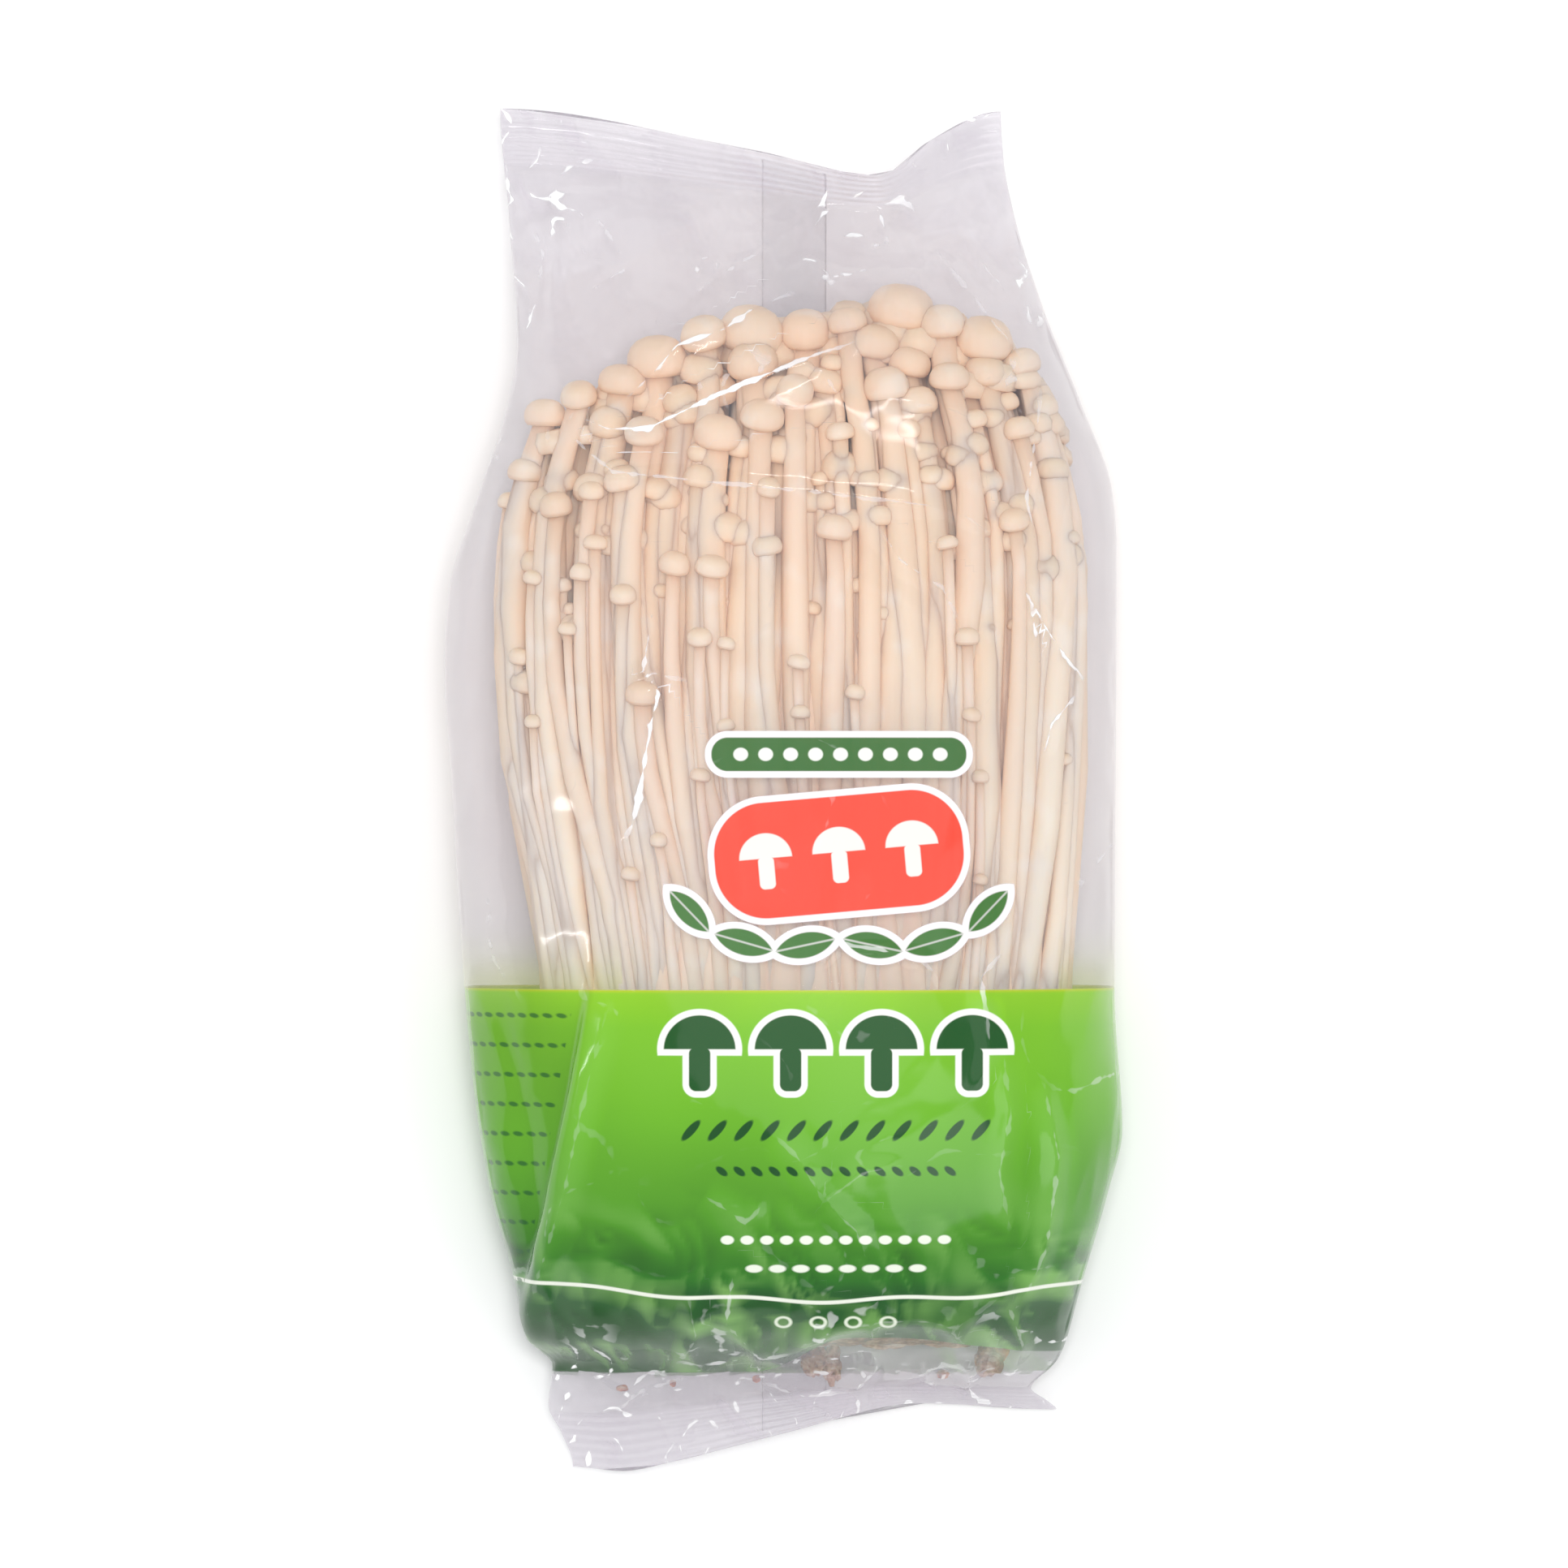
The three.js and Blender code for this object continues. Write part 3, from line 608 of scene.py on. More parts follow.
def signed_band_film():
    """The band's front, with four mushroom signs in a row and lines of plain marks."""
    f = Finish("signed_band_film")
    _, x, y, z = f.place()
    ink, share = band_print(f, x, y)
    aside = abs(x - BAND_X)
    column = (x + 17.6) % 12.4 - 6.2
    row = inside((aside - 24.7).most(abs(y + 35) - 8))
    sign = mushroom_sign(column, y + 35.2, 4.9)
    ink = f.blend(inside(sign - 0.85) * row, ink, colour(246, 248, 240))
    ink = f.blend(inside(sign) * row, ink, colour(26, 84, 34))
    for at, pitch, half, tall, lean, reach, tone in (
        (-46.3, 3.6, 1.3, 0.8, 0.9, 21.6, DARK_MARK),
        (-51.9, 2.4, 0.8, 0.55, -0.5, 16.8, DARK_MARK),
        (-61.4, 2.7, 0.9, 0.62, 0, 16.2, PALE_MARK),
        (-65.4, 3.2, 1.15, 0.55, 0, 12.8, PALE_MARK),
    ):
        cell = (x + (30 * pitch - BAND_X)) % pitch - pitch / 2
        mark = oval(cell, y - at - cell * lean, half, tall)
        ink = f.blend(inside(mark.most(aside - reach)), ink, tone)
    small = oval((x + 136.8) % 4.8 - 2.4, y + 73, 1, 0.7)
    ink = f.blend(inside(abs(small).most(aside - 9.6) - 0.16), ink, colour(224, 234, 212))
    side = oval((x * 0.8 + z * 0.6 + y * 0.6) % 2.3 - 1.15, y % 4.1 - 2.05, 0.8, 0.34)
    side = side.most(x + 28.4 + (y + 27) * -0.18).most(19.5 - z)
    ink = f.blend(inside(side) * 0.8, ink, colour(30, 92, 40))
    return film_shader(f, ink, share)


def badge_film():
    """Clear film with a warm red lozenge of pale mushrooms on it, leaves and a beaded strip."""
    f = Finish("badge_film")
    _, x, y, _ = f.place()
    bx, by = turned(x, y, BADGE_X, -8.6, 5)
    badge = block(bx, by, 17, 7.9, 7)
    pale = inside(mushroom_sign((bx + 15) % 10 - 5, by - 0.3, 3.6).most(abs(bx) - 14.9))
    aside = abs(x - BADGE_X)
    leaves, veins = None, None
    for at_x, at_y, lean, half in (
        (4.6, -21, -12, 4.3), (13, -20.6, 16, 4.3), (20.4, -16.4, 46, 4),
    ):
        lx, ly = turned(aside, y, at_x, at_y, lean)
        ly = abs(ly)
        blade = oval(lx, ly + half * 0.6, half * 1.2, half)
        vein = (ly - 0.12).most(blade)
        leaves = blade if leaves is None else leaves.least(blade)
        veins = vein if veins is None else veins.least(vein)
    strip = block(x - BADGE_X, y - 5, 17.4, 2.3, 2.2)
    beads = inside(oval((x + 112.9) % 3.4 - 1.7, y - 5, 1, 0.9).most(aside - 15.3))
    lined = inside(badge.least(strip).least(leaves) - 0.9)
    ink = f.blend(lined, HAZE, WHITE_EDGE)
    ink = f.blend(inside(leaves) * (1 - inside(veins) * 0.6), ink, colour(62, 118, 54))
    ink = f.blend(inside(strip), ink, colour(52, 108, 48))
    ink = f.blend(beads, ink, colour(240, 244, 234))
    ink = f.blend(inside(badge - 0.9), ink, WHITE_EDGE)
    ink = f.blend(inside(badge), ink, colour(250, 74, 56))
    ink = f.blend(pale, ink, colour(250, 238, 232))
    return film_shader(f, ink, lined * 0.94)


def mushroom_flesh():
    """Moist cream flesh, warmer down the stem and at the crown of each cap, with painted warm shade deep
    in the bunch and along the stems' sides.
    """
    f = Finish("mushroom_flesh")
    spot = f.place()[0]
    rise, tone = f.kept("rise"), f.kept("tone")
    streaks = f.noise(spot, 900, 2, (1, 0.08, 1))
    blotches = f.noise(spot, 160, 1)
    # Along the stem (0 to 0.5), then over the cap (0.5 to 1). The pale lower stem is partly the flesh's
    # own colour and partly painted light on the shade that the print casts there. The darker stop at 0.5,
    # where the stem meets the cap, is painted shade under the cap's rim.
    body = f.ramp((rise / 2).held(), [
        (0, (248, 224, 196)), (0.1, (255, 243, 220)), (0.25, (254, 240, 219)),
        (0.4, (243, 226, 207)), (0.47, (238, 221, 205)), (0.5, (231, 201, 175)),
        (0.56, (242, 222, 202)), (0.8, (243, 225, 202)), (1, (243, 219, 186)),
    ])
    # Painted warm shade: flesh deep in the bunch and on the mushrooms' sides is warmed, standing in for
    # light that passes through the flesh into the shade.
    body = f.blend(f.kept("shade"), body, colour(255, 219, 184))
    warm = f.blend(tone * 0.3 + streaks * 0.2 - 0.1, body, colour(240, 202, 168))
    pale = f.blend(blotches.step(0.55, 0.75) * 0.35, warm, colour(252, 246, 236))
    return f.done(f.add("BsdfPrincipled", values={
        "Base Color": pale, "Roughness": streaks * 0.2 + 0.4, "Subsurface Weight": 0.4,
        "Subsurface Radius": (0.0026, 0.0019, 0.0014), "Subsurface Scale": 0.8,
        "Specular IOR Level": 0.35,
        "Normal": f.bump(streaks * 0.7 + blotches * 0.3, 0.3, 0.00025),
    }))


def packed_stems():
    """The stems in the shade inside the bunch, with painted shade in their grooves and painted light low
    down.
    """
    f = Finish("packed_stems")
    spot, _, y, _ = f.place()
    streaks = f.noise(spot, 700, 1, (1, 0.05, 1))
    # Painted shade: darker, warmer flesh in the grooves between the ridges.
    body = f.blend(f.kept("groove"), colour(250, 214, 178), colour(232, 176, 132))
    # Painted light: paler flesh low down, lifting the deep shade there.
    body = f.blend((1 - y.step(-5, 35)) * 0.6, body, colour(255, 238, 218))
    body = f.blend(streaks.step(0.45, 0.7) * 0.4, body, colour(248, 230, 212))
    return f.done(f.add("BsdfPrincipled", values={
        "Base Color": body, "Roughness": 0.5, "Subsurface Weight": 0.2,
        "Subsurface Radius": (0.003, 0.0018, 0.0011), "Subsurface Scale": 0.5,
        "Normal": f.bump(streaks, 0.2, 0.0003),
    }))


def growing_block(name, dark, mid, pale):
    """Sawdust and husk bound by pale threads, in colours as they look on a screen."""
    f = Finish(name)
    spot = f.place()[0]
    grain, threads = f.noise(spot, 900, 6), f.noise(spot, 350, 5, (0.5, 1.6, 1))
    body = f.ramp(grain, [(0.3, dark), (0.5, mid), (0.68, pale)])
    body = f.blend(threads.step(0.56, 0.66) * 0.75, body, colour(232, 216, 192))
    return f.done(f.add("BsdfPrincipled", values={
        "Base Color": body, "Roughness": grain * 0.3 + 0.6,
        "Normal": f.bump(grain + threads * 0.5, 0.7, 0.0007),
    }))


# ---------------------------------------------------------------- the bag


def film_bag():
    """The film: one closed wrap with its folds, side gusset, ribbed seals and crumpled ends."""
    front_columns, back_columns = 214, 86
    rows = np.concatenate([
        np.linspace(-95, -87, 27)[:-1], np.linspace(-87, 87, 213)[:-1], np.linspace(87, 95, 27),
    ])
    across = np.concatenate([
        -np.cos(np.pi * np.arange(front_columns) / front_columns),
        np.cos(np.pi * np.arange(back_columns) / back_columns),
    ])
    upper = np.arange(len(across)) <= front_columns
    station, across = np.meshgrid(rows, across, indexing="ij")
    upper = np.broadcast_to(upper, across.shape)
    spots = film_point(station, across, upper)
    x, y = spots[..., 0], spots[..., 1]

    seal = in_seal(station)
    ends = eased(station, 48, 70) + eased(-station, 66, 78)
    edge = eased(np.abs(across), 0.7, 0.97)
    sharp, small = crumple(x, y, 13, 5), crumple(x, y, 5.5, 8)
    lift = 0.35 * swell(x, y, 19, 3) + 0.12 * swell(x, y, 7, 4)
    lift += (0.08 + 0.32 * ends) * sharp + (0.03 + 0.16 * ends) * small
    lift += 0.3 * edge * crumple(x * 1.6, y * 0.7, 9, 11)
    haze = 0.1 + 0.03 * swell(x, y, 11, 13) + 0.04 * ends + 0.04 * edge
    # tilt: how far the crumpled film slopes toward the lamps; it is used below to paint light and shade
    # on the facets.
    tilt = crumple(x + 0.5, y + 0.8, 13, 5) - sharp + 0.5 * (crumple(x + 0.4, y + 0.5, 5.5, 8) - small)
    # Painted sheen: a whiter veil on the facets of the crumpled ends that face the lamps. The thicker
    # veil over the lower front is partly a milkier film and partly painted light on the shade between the
    # lower stems.
    haze += 0.3 * ends * np.clip(tilt, 0, 0.5) + 0.06 * eased(-y, -25, 5) * (1 - edge)
    # shine and crease_shine: how strongly glints are painted along the folds and along the wandering
    # creases. sheen: a painted broad highlight on either side of each fold.
    fold, shine, sheen = np.full(x.shape, 9.0), np.zeros(x.shape), np.zeros(x.shape)
    for line, height, half, glint in FOLDS:
        gap, fade = gap_to_line(x, y, line)
        lift += height * (0.35 + 0.65 * fade) * np.maximum(1 - np.abs(gap) / half, 0) ** 1.2
        closer = np.abs(gap) < np.abs(fold)
        fold = np.where(closer, gap, fold)
        shine = np.where(closer, fade * glint, shine)
        sheen = np.maximum(sheen, glint * fade * np.maximum(1 - np.abs(gap) / (1.7 * half), 0))
    lift *= np.where(upper, 1, 0.25) * (1 - 0.85 * seal) * dome(across, 6)
    crease = 5 * wander(x, y, 13, 5) * (1 - ends) + 2.4 * wander(x, y, 5.5, 8) * ends
    patches = np.maximum(eased(swell(x, y, 15, 31), -0.1, 0.4), 0.8 * eased(-y, 77, 82))
    printed = eased(-y, 27, 30) * (1 - eased(-y, 76, 80))
    shine *= 1 - 0.6 * printed
    crease_shine = upper * patches * (0.8 * ends + 0.3 * edge + 0.12) * (1 - 0.3 * printed)
    # tone: soft random patches, a painted sheen along the band's folds, and painted light and shade on
    # the facets of its crumpled foot, set by their tilt.
    tone = 0.5 + 0.2 * swell(x, y, 21, 41) + 0.9 * sheen * printed
    tone += np.clip(1.8 * eased(-y, 52, 70) * tilt, -0.6, 0.6)

    # The left gusset: below the fold line the side panel lies deeper than the front.
    fold_x = np.interp(y, [-76, -70, -26], [-36.4, -35.5, -25.7])
    deep = eased(-y, 18, 44) * (1 - eased(-y, 70, 78))
    lift -= 2.6 * deep * eased(fold_x - x, 0, 2) * upper * (1 - eased(np.abs(across), 0.88, 1))
    lift += 0.7 * deep * upper * np.maximum(1 - np.abs(x - fold_x - 0.8) / 2.2, 0)
    # Painted shade: the side panel's print is darkened where it lies deeper.
    tone -= 0.22 * deep * eased(fold_x - x, -0.5, 0.6)

    ribs = 0.13 * np.sin(2 * np.pi * (HALF_LENGTH - np.abs(station)) / 1.3) * seal
    outward = np.cross(
        np.roll(spots, -1, axis=1) - np.roll(spots, 1, axis=1), np.gradient(spots, axis=0)
    )
    outward /= np.maximum(np.linalg.norm(outward, axis=-1, keepdims=True), 1e-9)
    outward *= (np.where(upper, 1, -1) * np.sign(outward[..., 2]) * (np.abs(across) < 0.985))[..., None]
    spots = spots + outward * lift[..., None]
    spots[..., 2] += ribs - np.where(upper, SEAL_PINCH, -SEAL_PINCH) * seal
    piece = skin(
        "film_bag", spots, flat_ends=True, haze=np.clip(haze + 0.06 * seal, 0, 1), fold=fold,
        fold_shine=shine * upper, crease=crease, crease_shine=crease_shine, tone=tone,
    )

    # Each finish is given only to the faces that need it: badge, band front, band back, clear.
    for finish in (clear_film(), badge_film(), signed_band_film(), plain_band_film()):
        piece.data.materials.append(finish)
    middle = np.empty(3 * len(piece.data.polygons))
    piece.data.polygons.foreach_get("center", middle)
    x, y, z = middle.reshape(-1, 3).T / MM
    front = z > 18
    which = np.where(front & (np.abs(x - 7.8) < 30) & (y > -26.9) & (y < 13), 1, 0)
    which = np.where(y < GLOW_TOP, np.where(front & (y < -28), 2, np.where(which == 1, 1, 3)), which)
    which = np.where(y < BAND_END, 0, which)
    piece.data.polygons.foreach_set("material_index", which.astype(np.int32))
    return piece


def back_fin():
    """The bag's back seam: both edges of the film, sealed together and folded flat."""
    half, rows = 14, np.linspace(-FIN_HALF_LENGTH, FIN_HALF_LENGTH, 150)
    station, place = np.meshgrid(rows, np.arange(2 * half), indexing="ij")
    across = 2 * np.abs(place - half) / half - 1
    x = FIN_MIDDLE + across * FIN_WIDTH / 2
    left, right = along(LEFT_EDGE, station), along(RIGHT_EDGE, station)
    spots = film_point(station, (2 * x - left - right) / (right - left), np.zeros(x.shape, bool))
    spots[..., 0] = x
    spots[..., 2] += 0.06 * np.sign(place - half) * (place > 0) - 0.3
    spots[..., 2] += SEAL_PINCH * in_seal(station)
    spots[..., 2] -= 0.1 * np.sin(6 * np.pi * across) * (np.abs(across) < 0.8)
    plain = {"haze": 0, "fold": 9, "fold_shine": 0, "crease": 9, "crease_shine": 0, "tone": 0.5}
    numbers = {key: np.full(x.shape, float(value)) for key, value in plain.items()}
    piece = skin("back_fin", spots, flat_ends=True, **numbers)
    piece.data.materials.append(seam_film())
    piece.data.materials.append(plain_band_film())
    middle = np.array([face.center[1] for face in piece.data.polygons]) / MM
    printed = (middle < GLOW_TOP) & (middle > BAND_END)
    piece.data.polygons.foreach_set("material_index", printed.astype(np.int32))
    return piece


# ---------------------------------------------------------------- the mushrooms


def lone_mushroom(name, sides, stem_rings, cap_rings):
    """One straight mushroom: a stem 1 tall and 1 round, and from 2 up a cap 1 tall and 1 round."""
    nothing_selected()
    bpy.ops.mesh.primitive_circle_add(vertices=sides, radius=1, fill_type="NGON")
    piece = bpy.context.object
    piece.name = piece.data.name = name
    bpy.ops.object.mode_set(mode="EDIT")
    bpy.ops.mesh.select_mode(type="FACE")
    bpy.ops.mesh.select_all(action="SELECT")
    height, radius = 0.0, 1.0
    for next_height, next_radius in [(z, 1.0) for z in stem_rings] + [(2 + z, r) for z, r in cap_rings]:
        bpy.ops.mesh.extrude_region_move(TRANSFORM_OT_translate={"value": (0, 0, next_height - height)})
        bpy.ops.transform.resize(value=(next_radius / radius, next_radius / radius, 1))
        height, radius = next_height, next_radius
    bpy.ops.mesh.poke(offset=0)
    bpy.ops.object.mode_set(mode="OBJECT")
    return piece


def height_share(y):
    """0 at the lowest caps of the bunch and 1 at its crown."""
    return min(max((y + 12) / 82, 0), 1)


def mushroom_facts(x, y, width, side, chance):
    """How one mushroom stands, by the same rule and chances as in the solid."""
    left, right = along(BUNCH_LEFT, y), along(BUNCH_RIGHT, y)
    half_width = (right - left) / 2
    half_depth = (along(UPPER_FILM, y) - along(LOWER_FILM, y)) / 2 - CLEARANCE
    radius = width / 2
    most_u = 1 - radius / half_width
    u = float(np.clip((x - (left + right) / 2) / half_width, -most_u, most_u))
    room = max(float(dome(min(abs(u) + 0.04, 1), BUNCH_ROUNDING)) - radius / half_depth, 0)
    v = side * (1 - 0.5 * height_share(y) ** 1.6) * room
    root_u = min(max(u, -0.93), 0.93) * ROOT_GATHER + (next(chance) - 0.5) * 0.12
    sway = ((next(chance) - 0.5) * 1.6, (next(chance) - 0.5) * 1.2)
    cap_height = width * (0.5 + 0.14 * next(chance))
    tilt = ((next(chance) - 0.5) * 0.5, side * (0.1 + 0.35 * next(chance)))
    return {
        "y": y, "u": (root_u, u), "v": (v * ROOT_GATHER, v), "sway": sway, "width": width,
        "cap_height": cap_height, "tilt": tilt, "girth": 1,
    }


def depth_inside(spots):
    """How deep points lie in the bunch, in millimetres from its front or its back."""
    x, y, z = spots.T
    left, right = along(BUNCH_LEFT, y), along(BUNCH_RIGHT, y)
    lower, upper = along(LOWER_FILM, y), along(UPPER_FILM, y)
    u = np.clip((2 * x - left - right) / (right - left), -1, 1)
    half_depth = (upper - lower) / 2 - CLEARANCE
    return half_depth * dome(u, BUNCH_ROUNDING) - np.abs(z - (lower + upper) / 2)


def on_front(u, depth):
    """How far forward a stem stands at its foot, as a share of the room there is."""
    return ROOT_GATHER * depth * (float(dome(min(abs(u) + 0.04, 1), BUNCH_ROUNDING)) - 0.06)


def all_mushrooms():
    """Those of the solid first, then the ones packed between them."""
    chance = seeded(20)
    inner = []
    for k in range(INNER_COUNT):
        x = 2 + 30 * (2 * (GOLDEN * (k + 1) % 1) - 1)
        facts = mushroom_facts(x, float(along(CROWN, x)) - 3.5, 5.4 + 2.4 * next(chance), 1, chance)
        v = 0.3 * (2 * (PLASTIC * (k + 1) % 1) - 1)
        inner.append({**facts, "v": (v, v)})
    upper = [mushroom_facts(*cap, 1, chance) for cap in UPPER_CAPS]
    for k, facts in enumerate(upper):
        low = facts["y"] < 40
        facts["girth"] = 0.78 if low else 0.9
        lean = LEANING.get(UPPER_CAPS[k][:2], 0.06 * math.sin(2.4 * k) * (1 - facts["u"][0] ** 2))
        facts["u"] = (facts["u"][0] + lean, facts["u"][1])
        depth = PLASTIC * k % 1
        facts["v"] = (
            on_front(facts["u"][0], 0.95 if low else 0.8 + 0.13 * depth),
            facts["v"][1] * (1 if low else 0.72 + 0.42 * depth),
        )
    lower = []
    for k in range(LOWER_COUNT):
        x = 2 + 40 * (1.84 * (GOLDEN * (k + 1) % 1) - 0.92)
        crown = float(along(CROWN, x)) - 4
        y = -10 + (crown + 10) * (PLASTIC * (k + 1) % 1) ** 0.8
        width = 2.4 + 5.2 * height_share(y) ** 1.3 * (0.8 + 0.4 * next(chance))
        lower.append(mushroom_facts(x, y, width, -1, chance))
    chance = seeded(77)
    filling = []
    for k in range(FILLING_COUNT):
        u = 1.9 * ((GOLDEN * (k + 1)) % 1) - 0.95
        v = 1.4 * ((PLASTIC * (k + 1)) % 1) - 0.95
        room = float(dome(u, BUNCH_ROUNDING))
        x = 2 + 38 * u
        crown = float(along(CROWN, x)) - 3.5
        y = crown - (14 + 10 * next(chance)) * abs(v) ** 2.2 - 5 * next(chance)
        width = (2.4 + 5 * height_share(y) ** 1.3) * (0.75 + 0.4 * next(chance))
        facts = mushroom_facts(x, y, width, math.copysign(1, v), chance)
        reach = v * max(room - 0.12, 0) * 0.78
        filling.append({**facts, "v": (reach, reach)})
    second = []
    for k in range(SECOND_COUNT):
        u = 1.9 * ((GOLDEN * (k + 1)) % 1) - 0.95
        x = 2 + 39.5 * u
        crown = float(along(CROWN, x)) - 9 - 6 * abs(u) ** 6
        tall = k % 2 == 0
        y = crown - 26 * next(chance) if tall else crown - 12 - 46 * next(chance)
        width = 3.4 + 2.2 * next(chance) if tall else 2.2 + 0.8 * next(chance)
        facts = mushroom_facts(x, y, width, 1, chance)
        depth = 0.62 + 0.2 * next(chance)
        root_u = min(max(facts["u"][0] + 0.3 * (next(chance) - 0.5), -0.84), 0.84)
        top_v = facts["v"][1] * depth * (1 if tall else 0.9)
        second.append({
            **facts, "u": (root_u, facts["u"][1]), "v": (on_front(root_u, depth + 0.12), top_v),
            "girth": 0.56 + 0.36 * next(chance),
        })
    flanks = []
    for k in range(FLANK_COUNT):
        turn = math.radians(-10 - 160 * k / (FLANK_COUNT - 1))
        u, v = 0.92 * float(squared(math.cos(turn))), 0.92 * float(squared(math.sin(turn)))
        x = 2 + 42 * u
        y = float(along(CROWN, x)) - 6 - 18 * next(chance)
        facts = mushroom_facts(x, y, 3 + 2.4 * next(chance), -1, chance)
        flanks.append({**facts, "u": (0.98 * u, u), "v": (0.98 * v, 0.94 * v)})
    return upper + second, lower + inner, filling + flanks


def grown(unit, facts, chance, name):
    """A copy of the lone mushroom, stretched along its own bent stem."""
    piece = unit.copy()
    piece.data = unit.data.copy()
    bpy.context.scene.collection.objects.link(piece)
    piece.name = piece.data.name = name
    spots = positions(unit)
    across, over, up = spots.T
    on_cap = up > 1.5
    t = np.where(on_cap, 1, up)
    reach = facts["y"] - facts["cap_height"] * 0.5 - ROOT_END
    ease = t * t * (3 - 2 * t)
    bow = np.sin(np.pi * t) * np.sin(2.4 * np.pi * t)
    wave = next(chance) * 6
    ripple = 0.6 * np.sin(8 * t + wave) * t * (1 - t) * 4
    axis = placed(
        facts["u"][0] + (facts["u"][1] - facts["u"][0]) * ease,
        facts["v"][0] + (facts["v"][1] - facts["v"][0]) * eased(t, 0.45, 1),
        ROOT_END + reach * t,
    )
    axis[:, 0] += facts["sway"][0] * bow + ripple
    axis[:, 2] += facts["sway"][1] * bow
    width = facts["width"]
    stem = along([(0, 1.4), (0.4, 1.86), (0.8, min(width * 0.38, 2.4)), (1, width * 0.32)], t)
    stem = stem * facts["girth"] * (1 + 0.1 * np.sin(11 * t + 2 * wave))
    aim = np.array([facts["tilt"][0], 1, facts["tilt"][1]])
    aim /= np.linalg.norm(aim)
    side = np.array([1, 0, 0]) - aim[0] * aim
    side /= np.linalg.norm(side)
    top = np.cross(side, aim)
    lean = eased(t, 0.86, 1)[:, None]
    eastward = (1 - lean) * np.array([1, 0, 0]) + lean * side
    upward = (1 - lean) * np.array([0, 0, 1]) + lean * top
    reach_out = np.where(on_cap, width / 2, stem)[:, None]
    round_it = 2 * np.arctan2(over, across) + wave
    on_stem = 0.14 * (1 - t) * np.sin(round_it + 5 * t)
    uneven = 1 + np.where(on_cap, 0.05 * np.sin(round_it), on_stem)[:, None]
    spread = reach_out * uneven * (-across[:, None] * eastward + over[:, None] * upward)
    rise = np.where(on_cap, up - 2, 0)[:, None] * facts["cap_height"] * aim
    spots = axis + spread + rise
    move_to(piece, spots * MM)
    # Painted warm shade: it grows with depth in the bunch and toward each mushroom's sides, where it
    # meets its neighbours.
    at_side = np.abs(across) ** 3 * np.where(on_cap, 0.25, 0.65)
    keep_number(piece, "shade", np.maximum(eased(depth_inside(spots), 2, 9) * 0.7, at_side))
    keep_number(piece, "rise", np.where(on_cap, 1 + np.clip(up - 2, 0.02, 1), t))
    keep_number(piece, "tone", np.full(len(spots), next(chance)))
    return piece


def mushrooms():
    cap = [
        (0, 0.34), (-0.09, 0.64), (-0.12, 0.88), (0.02, 1), (0.2, 1.04), (0.44, 1.01),
        (0.67, 0.89), (0.86, 0.67), (0.965, 0.38),
    ]
    stem = [0.25, 0.5, 0.65, 0.78, 0.88, 0.95, 1]
    full = lone_mushroom("full_mushroom", 14, stem, cap)
    plain = lone_mushroom("plain_mushroom", 9, [0.3, 0.6, 0.85, 1], [cap[1], cap[3], cap[5], cap[7]])
    chance = seeded(5)
    upper, rest, filling = all_mushrooms()
    front = [grown(full, facts, chance, f"front_{k}") for k, facts in enumerate(upper)]
    back = [grown(plain, facts, chance, f"back_{k}") for k, facts in enumerate(rest + filling)]
    front, back = joined(front, "front_mushrooms"), joined(back, "packed_mushrooms")
    for unit in (full, plain):
        bpy.data.objects.remove(unit)
    for piece in (front, back):
        faces_outward(piece)
    return front, back


def squared(value):
    return np.sign(value) * np.abs(value) ** (2 / BUNCH_ROUNDING)


def stem_core():
    """The stems packed out of sight, as one ridged body under the loose ones."""
    ridges, points = 62, 8
    around = ridges * points
    y, column = np.meshgrid(np.linspace(ROOT_END, CORE[-1][0], 60), np.arange(around), indexing="ij")
    angle = 2 * np.pi * column / around
    angle = angle + 0.16 * np.sin(2 * angle) + 0.03 * np.sin(y / 17 + 2.5 * np.sin(6 * angle))
    ridge = np.abs(np.sin(np.pi * column / points))
    share = along(CORE, y) + 0.08 * (1 - eased(y, -10, 40)) - 0.055 * (1 - ridge) ** 1.5
    uneven = eased(y, 20, 50) * 3.5 * np.sin(2.4 * (column // points))
    spots = placed(share * squared(np.cos(angle)), share * squared(np.sin(angle)), y)
    spots[..., 1] = np.maximum(y + uneven, ROOT_END)
    # Painted shade: how much packed_stems darkens the grooves between the ridges.
    return skin("stem_core", spots, groove=(1 - ridge) ** 2 * 0.8)


def torn_pad():
    """The rough slab of growing block that the stems still stand on."""
    depth, turn = np.meshgrid(np.linspace(0, 8, 26), np.arange(180) / 180, indexing="ij")
    angle = 2 * np.pi * turn
    share = along([(0, 0.5), (0.6, 0.68), (1.6, 0.8), (4.5, 0.9), (6, 0.9), (8, 0.9)], depth)
    share = share + 0.035 * np.sin(5 * angle + depth) + 0.025 * np.sin(11 * angle - 2 * depth)
    share = share + 0.03 * swell(6 * np.cos(angle), 6 * np.sin(angle) + depth * 1.2, 1.1, 21)
    share = share + 0.02 * swell(14 * np.cos(angle), 14 * np.sin(angle) + depth * 3, 1.1, 22)
    spots = placed(share * squared(np.cos(angle)), share * squared(np.sin(angle)), PAD_END + depth)
    rough = 0.5 * np.sin(3 * angle) + 0.5 * swell(9 * np.cos(angle), 9 * np.sin(angle) + depth, 1, 23)
    spots[..., 1] += (1 - eased(depth, 3, 5)) * rough
    return skin("torn_pad", spots)


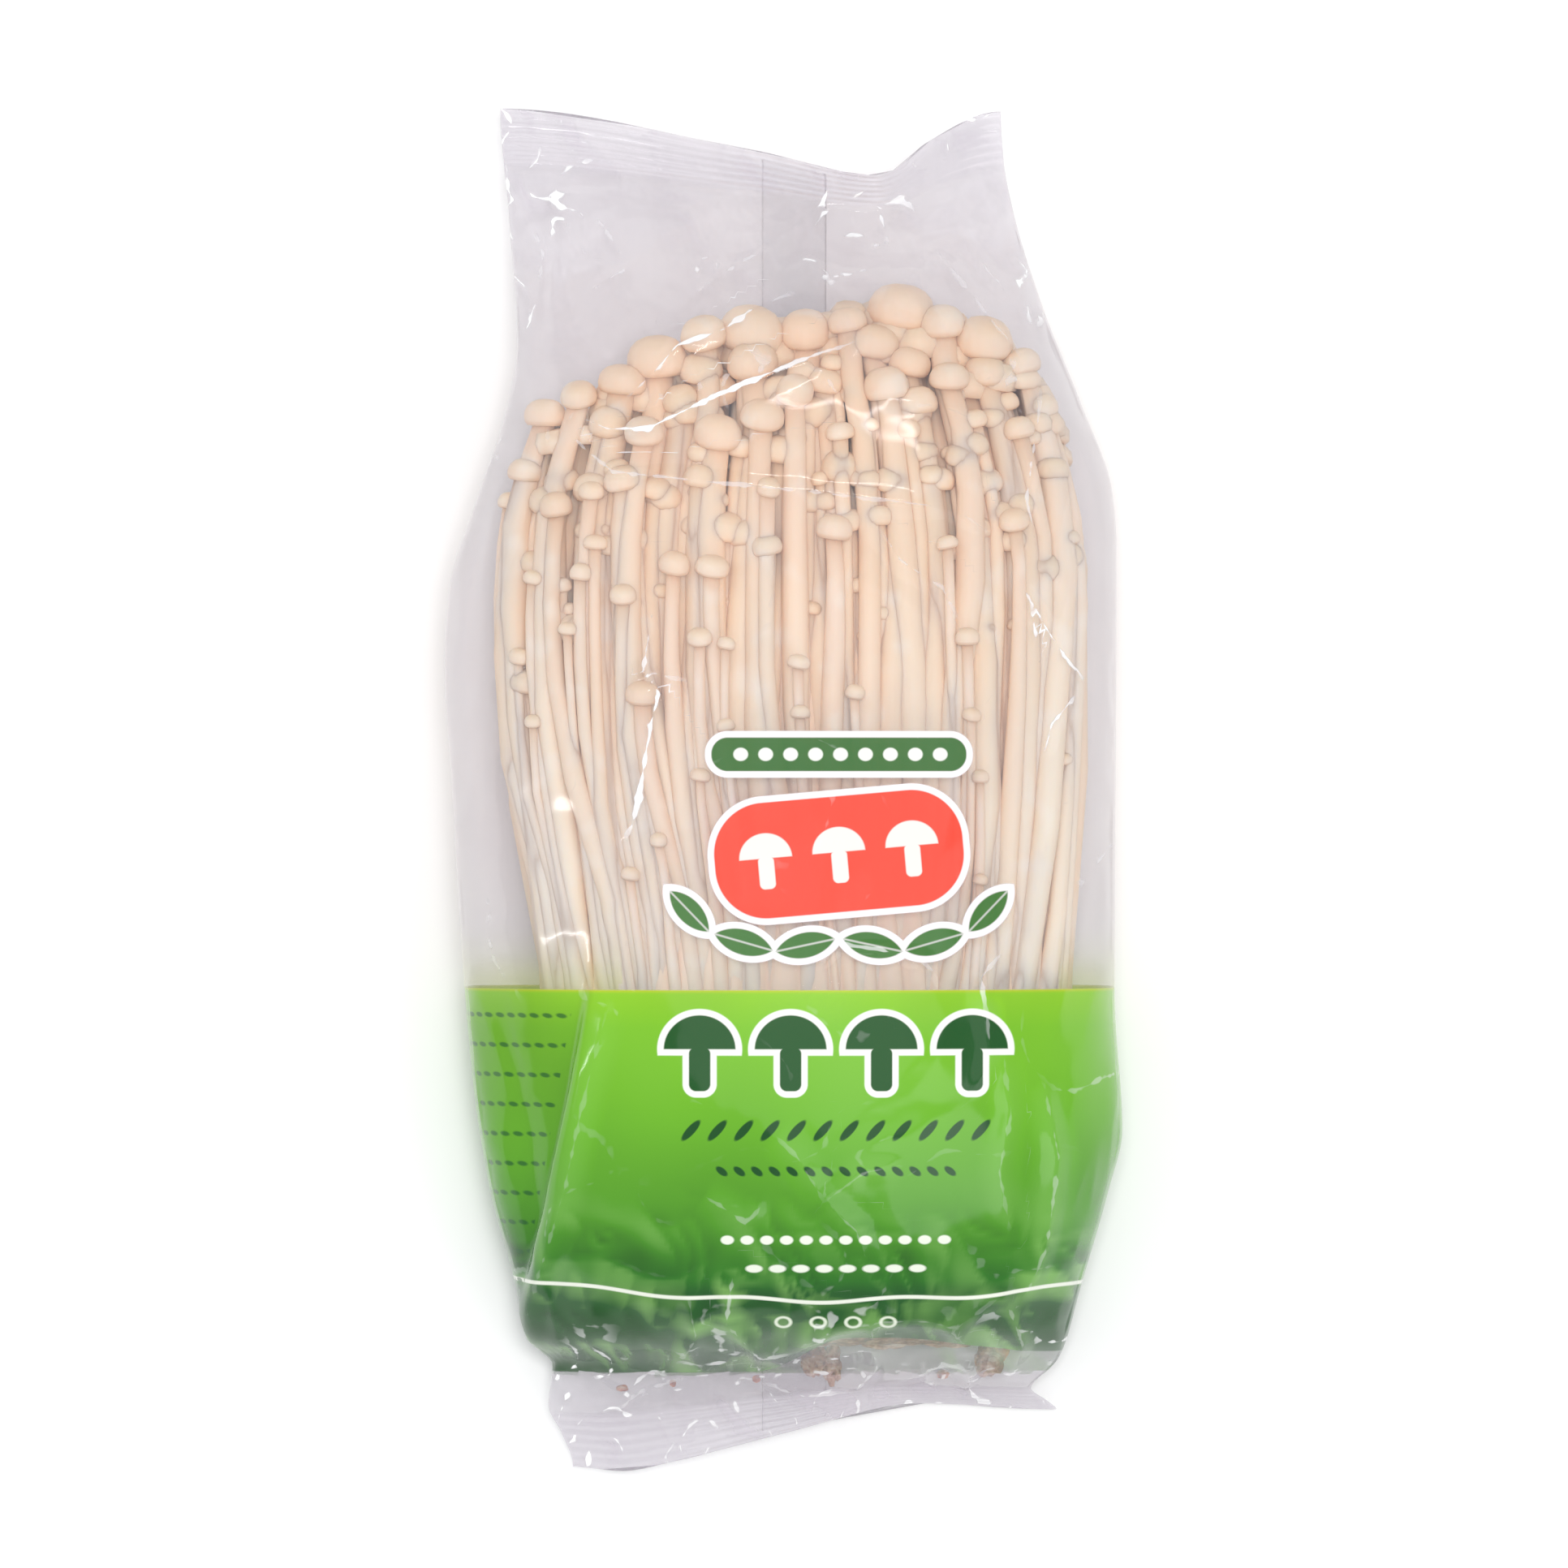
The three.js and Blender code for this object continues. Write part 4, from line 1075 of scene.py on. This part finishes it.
def lump(low, high, seed, rough=1):
    """A small rough bit of growing block that fills the box between two corners."""
    nothing_selected()
    bpy.ops.mesh.primitive_ico_sphere_add(subdivisions=4, radius=0.5)
    piece = bpy.context.object
    spots = positions(piece)
    x, y, z = spots.T
    lumps = 0.16 * swell(x * 3 + 2 * z, y * 3 - z, 1, seed)
    lumps += 0.07 * swell(x * 9 + 4 * z, y * 9 - 5 * z, 1, seed + 1)
    spots = spots * (1 + rough * lumps[:, None])
    spots = (spots - spots.min(0)) / (spots.max(0) - spots.min(0))
    move_to(piece, np.array(low) + spots * (np.array(high) - np.array(low)))
    return piece


# ---------------------------------------------------------------- putting it together

film = film_bag()
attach(film, "root")
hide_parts("bag_film")

fin = back_fin()
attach(fin, "root")

flesh = mushroom_flesh()
core = stem_core()
core.data.materials.append(packed_stems())
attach(core, "root")
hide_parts("mushroom_bunch")
for piece in mushrooms():
    piece.data.materials.clear()
    piece.data.materials.append(flesh)
    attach(piece, "root")

pad = torn_pad()
pad.data.materials.append(growing_block("torn_block", (84, 54, 34), (150, 108, 72), (196, 160, 122)))
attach(pad, "root")
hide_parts("root_pad")

shreds = joined([
    lump([MM * c for c in low], [MM * c for c in high], 80 + 3 * k, 2.2)
    for k, (low, high) in enumerate((
        ((2.4, -81.8, 7.5), (6.2, -76.2, 11.5)), ((5.4, -83.2, 6), (8.2, -76.8, 8.2)),
        ((10, -77.9, 9), (17.4, -75.2, 12)), ((18.4, -77.6, 9), (27, -75.4, 12)),
        ((-9, -80.6, 8.6), (-6.6, -79.4, 9.8)),
        ((26.6, -81.8, 7), (30.8, -76.8, 11)),
    ))
], "torn_shreds")
faces_outward(shreds)
shreds.data.materials.append(growing_block("torn_shred", (104, 66, 40), (176, 122, 80), (228, 198, 168)))
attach(shreds, "root")

crumb_nodes = sorted(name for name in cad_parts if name.startswith("crumb_"))
crumbs = joined([lump(*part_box(node), 60 + 3 * k) for k, node in enumerate(crumb_nodes)], "loose_crumbs")
faces_outward(crumbs)
crumbs.data.materials.append(growing_block("crumb_block", (124, 58, 20), (194, 102, 40), (224, 154, 92)))
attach(crumbs, "root")
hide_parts(*crumb_nodes)

# ---------------------------------------------------------------- studio


BAG_MIDDLE = Vector((0, 0, 0.02))


def studio_floor():
    nothing_selected()
    bpy.ops.mesh.primitive_plane_add(size=6, location=(0, 0, -0.0002))
    floor = bpy.context.object
    floor.name = "studio_floor"
    f = Finish("pale_floor")
    spot = f.place()[0]
    tone = f.blend(f.noise(spot, 4, 2) * 0.3, (0.94, 0.94, 0.94, 1), (0.97, 0.97, 0.97, 1))
    floor.data.materials.append(f.done(f.add("BsdfPrincipled", values={
        "Base Color": tone, "Roughness": 0.9, "Specular IOR Level": 0.1,
    })))


def soft_light(name, place, width, height, power, in_gloss=True):
    """A lamp with a wide face, aimed at the middle of the bag."""
    lamp = bpy.data.lights.new(name, "AREA")
    lamp.shape, lamp.size, lamp.size_y, lamp.energy = "RECTANGLE", width, height, power
    light = bpy.data.objects.new(name, lamp)
    bpy.context.scene.collection.objects.link(light)
    light.location = place
    light.visible_glossy = in_gloss
    light.rotation_euler = (BAG_MIDDLE - Vector(place)).to_track_quat("-Z", "Y").to_euler()


studio_floor()
soft_light("panel", (0.1, 0.1, 2.3), 2, 2, 8)
soft_light("front", (0.06, 0.1, 2.1), 0.4, 0.4, 19, in_gloss=False)
soft_light("key", (-0.5, 0.5, 0.8), 0.7, 0.7, 1.1)
soft_light("low", (0.45, -0.6, 0.75), 0.7, 0.7, 2.2)
soft_light("strip_left", (-0.8, -0.15, 0.5), 0.02, 0.4, 0.5)
soft_light("strip_top", (0.1, 0.7, 0.8), 0.4, 0.02, 0.5)

world = bpy.data.worlds.new("studio")
world.use_nodes = True
background = world.node_tree.nodes["Background"]
background.inputs["Color"].default_value = (0.97, 0.98, 1, 1)
background.inputs["Strength"].default_value = 0.44
bpy.context.scene.world = world

DISTANCE, SENSOR_WIDTH = 1.8, 36
VIEW_WIDTH = 1932 * 0.1127 * MM  # what the camera takes in at the bag
camera = bpy.data.objects.new("camera", bpy.data.cameras.new("camera"))
bpy.context.scene.collection.objects.link(camera)
camera.location = (0.0001, 0.00096, 0.016 + DISTANCE)
camera.rotation_euler = (0, 0, 0)
camera.data.sensor_width = SENSOR_WIDTH
camera.data.lens = SENSOR_WIDTH * DISTANCE / VIEW_WIDTH
camera.data.clip_end = 20
bpy.context.scene.camera = camera
bpy.context.scene.view_settings.view_transform = "Standard"
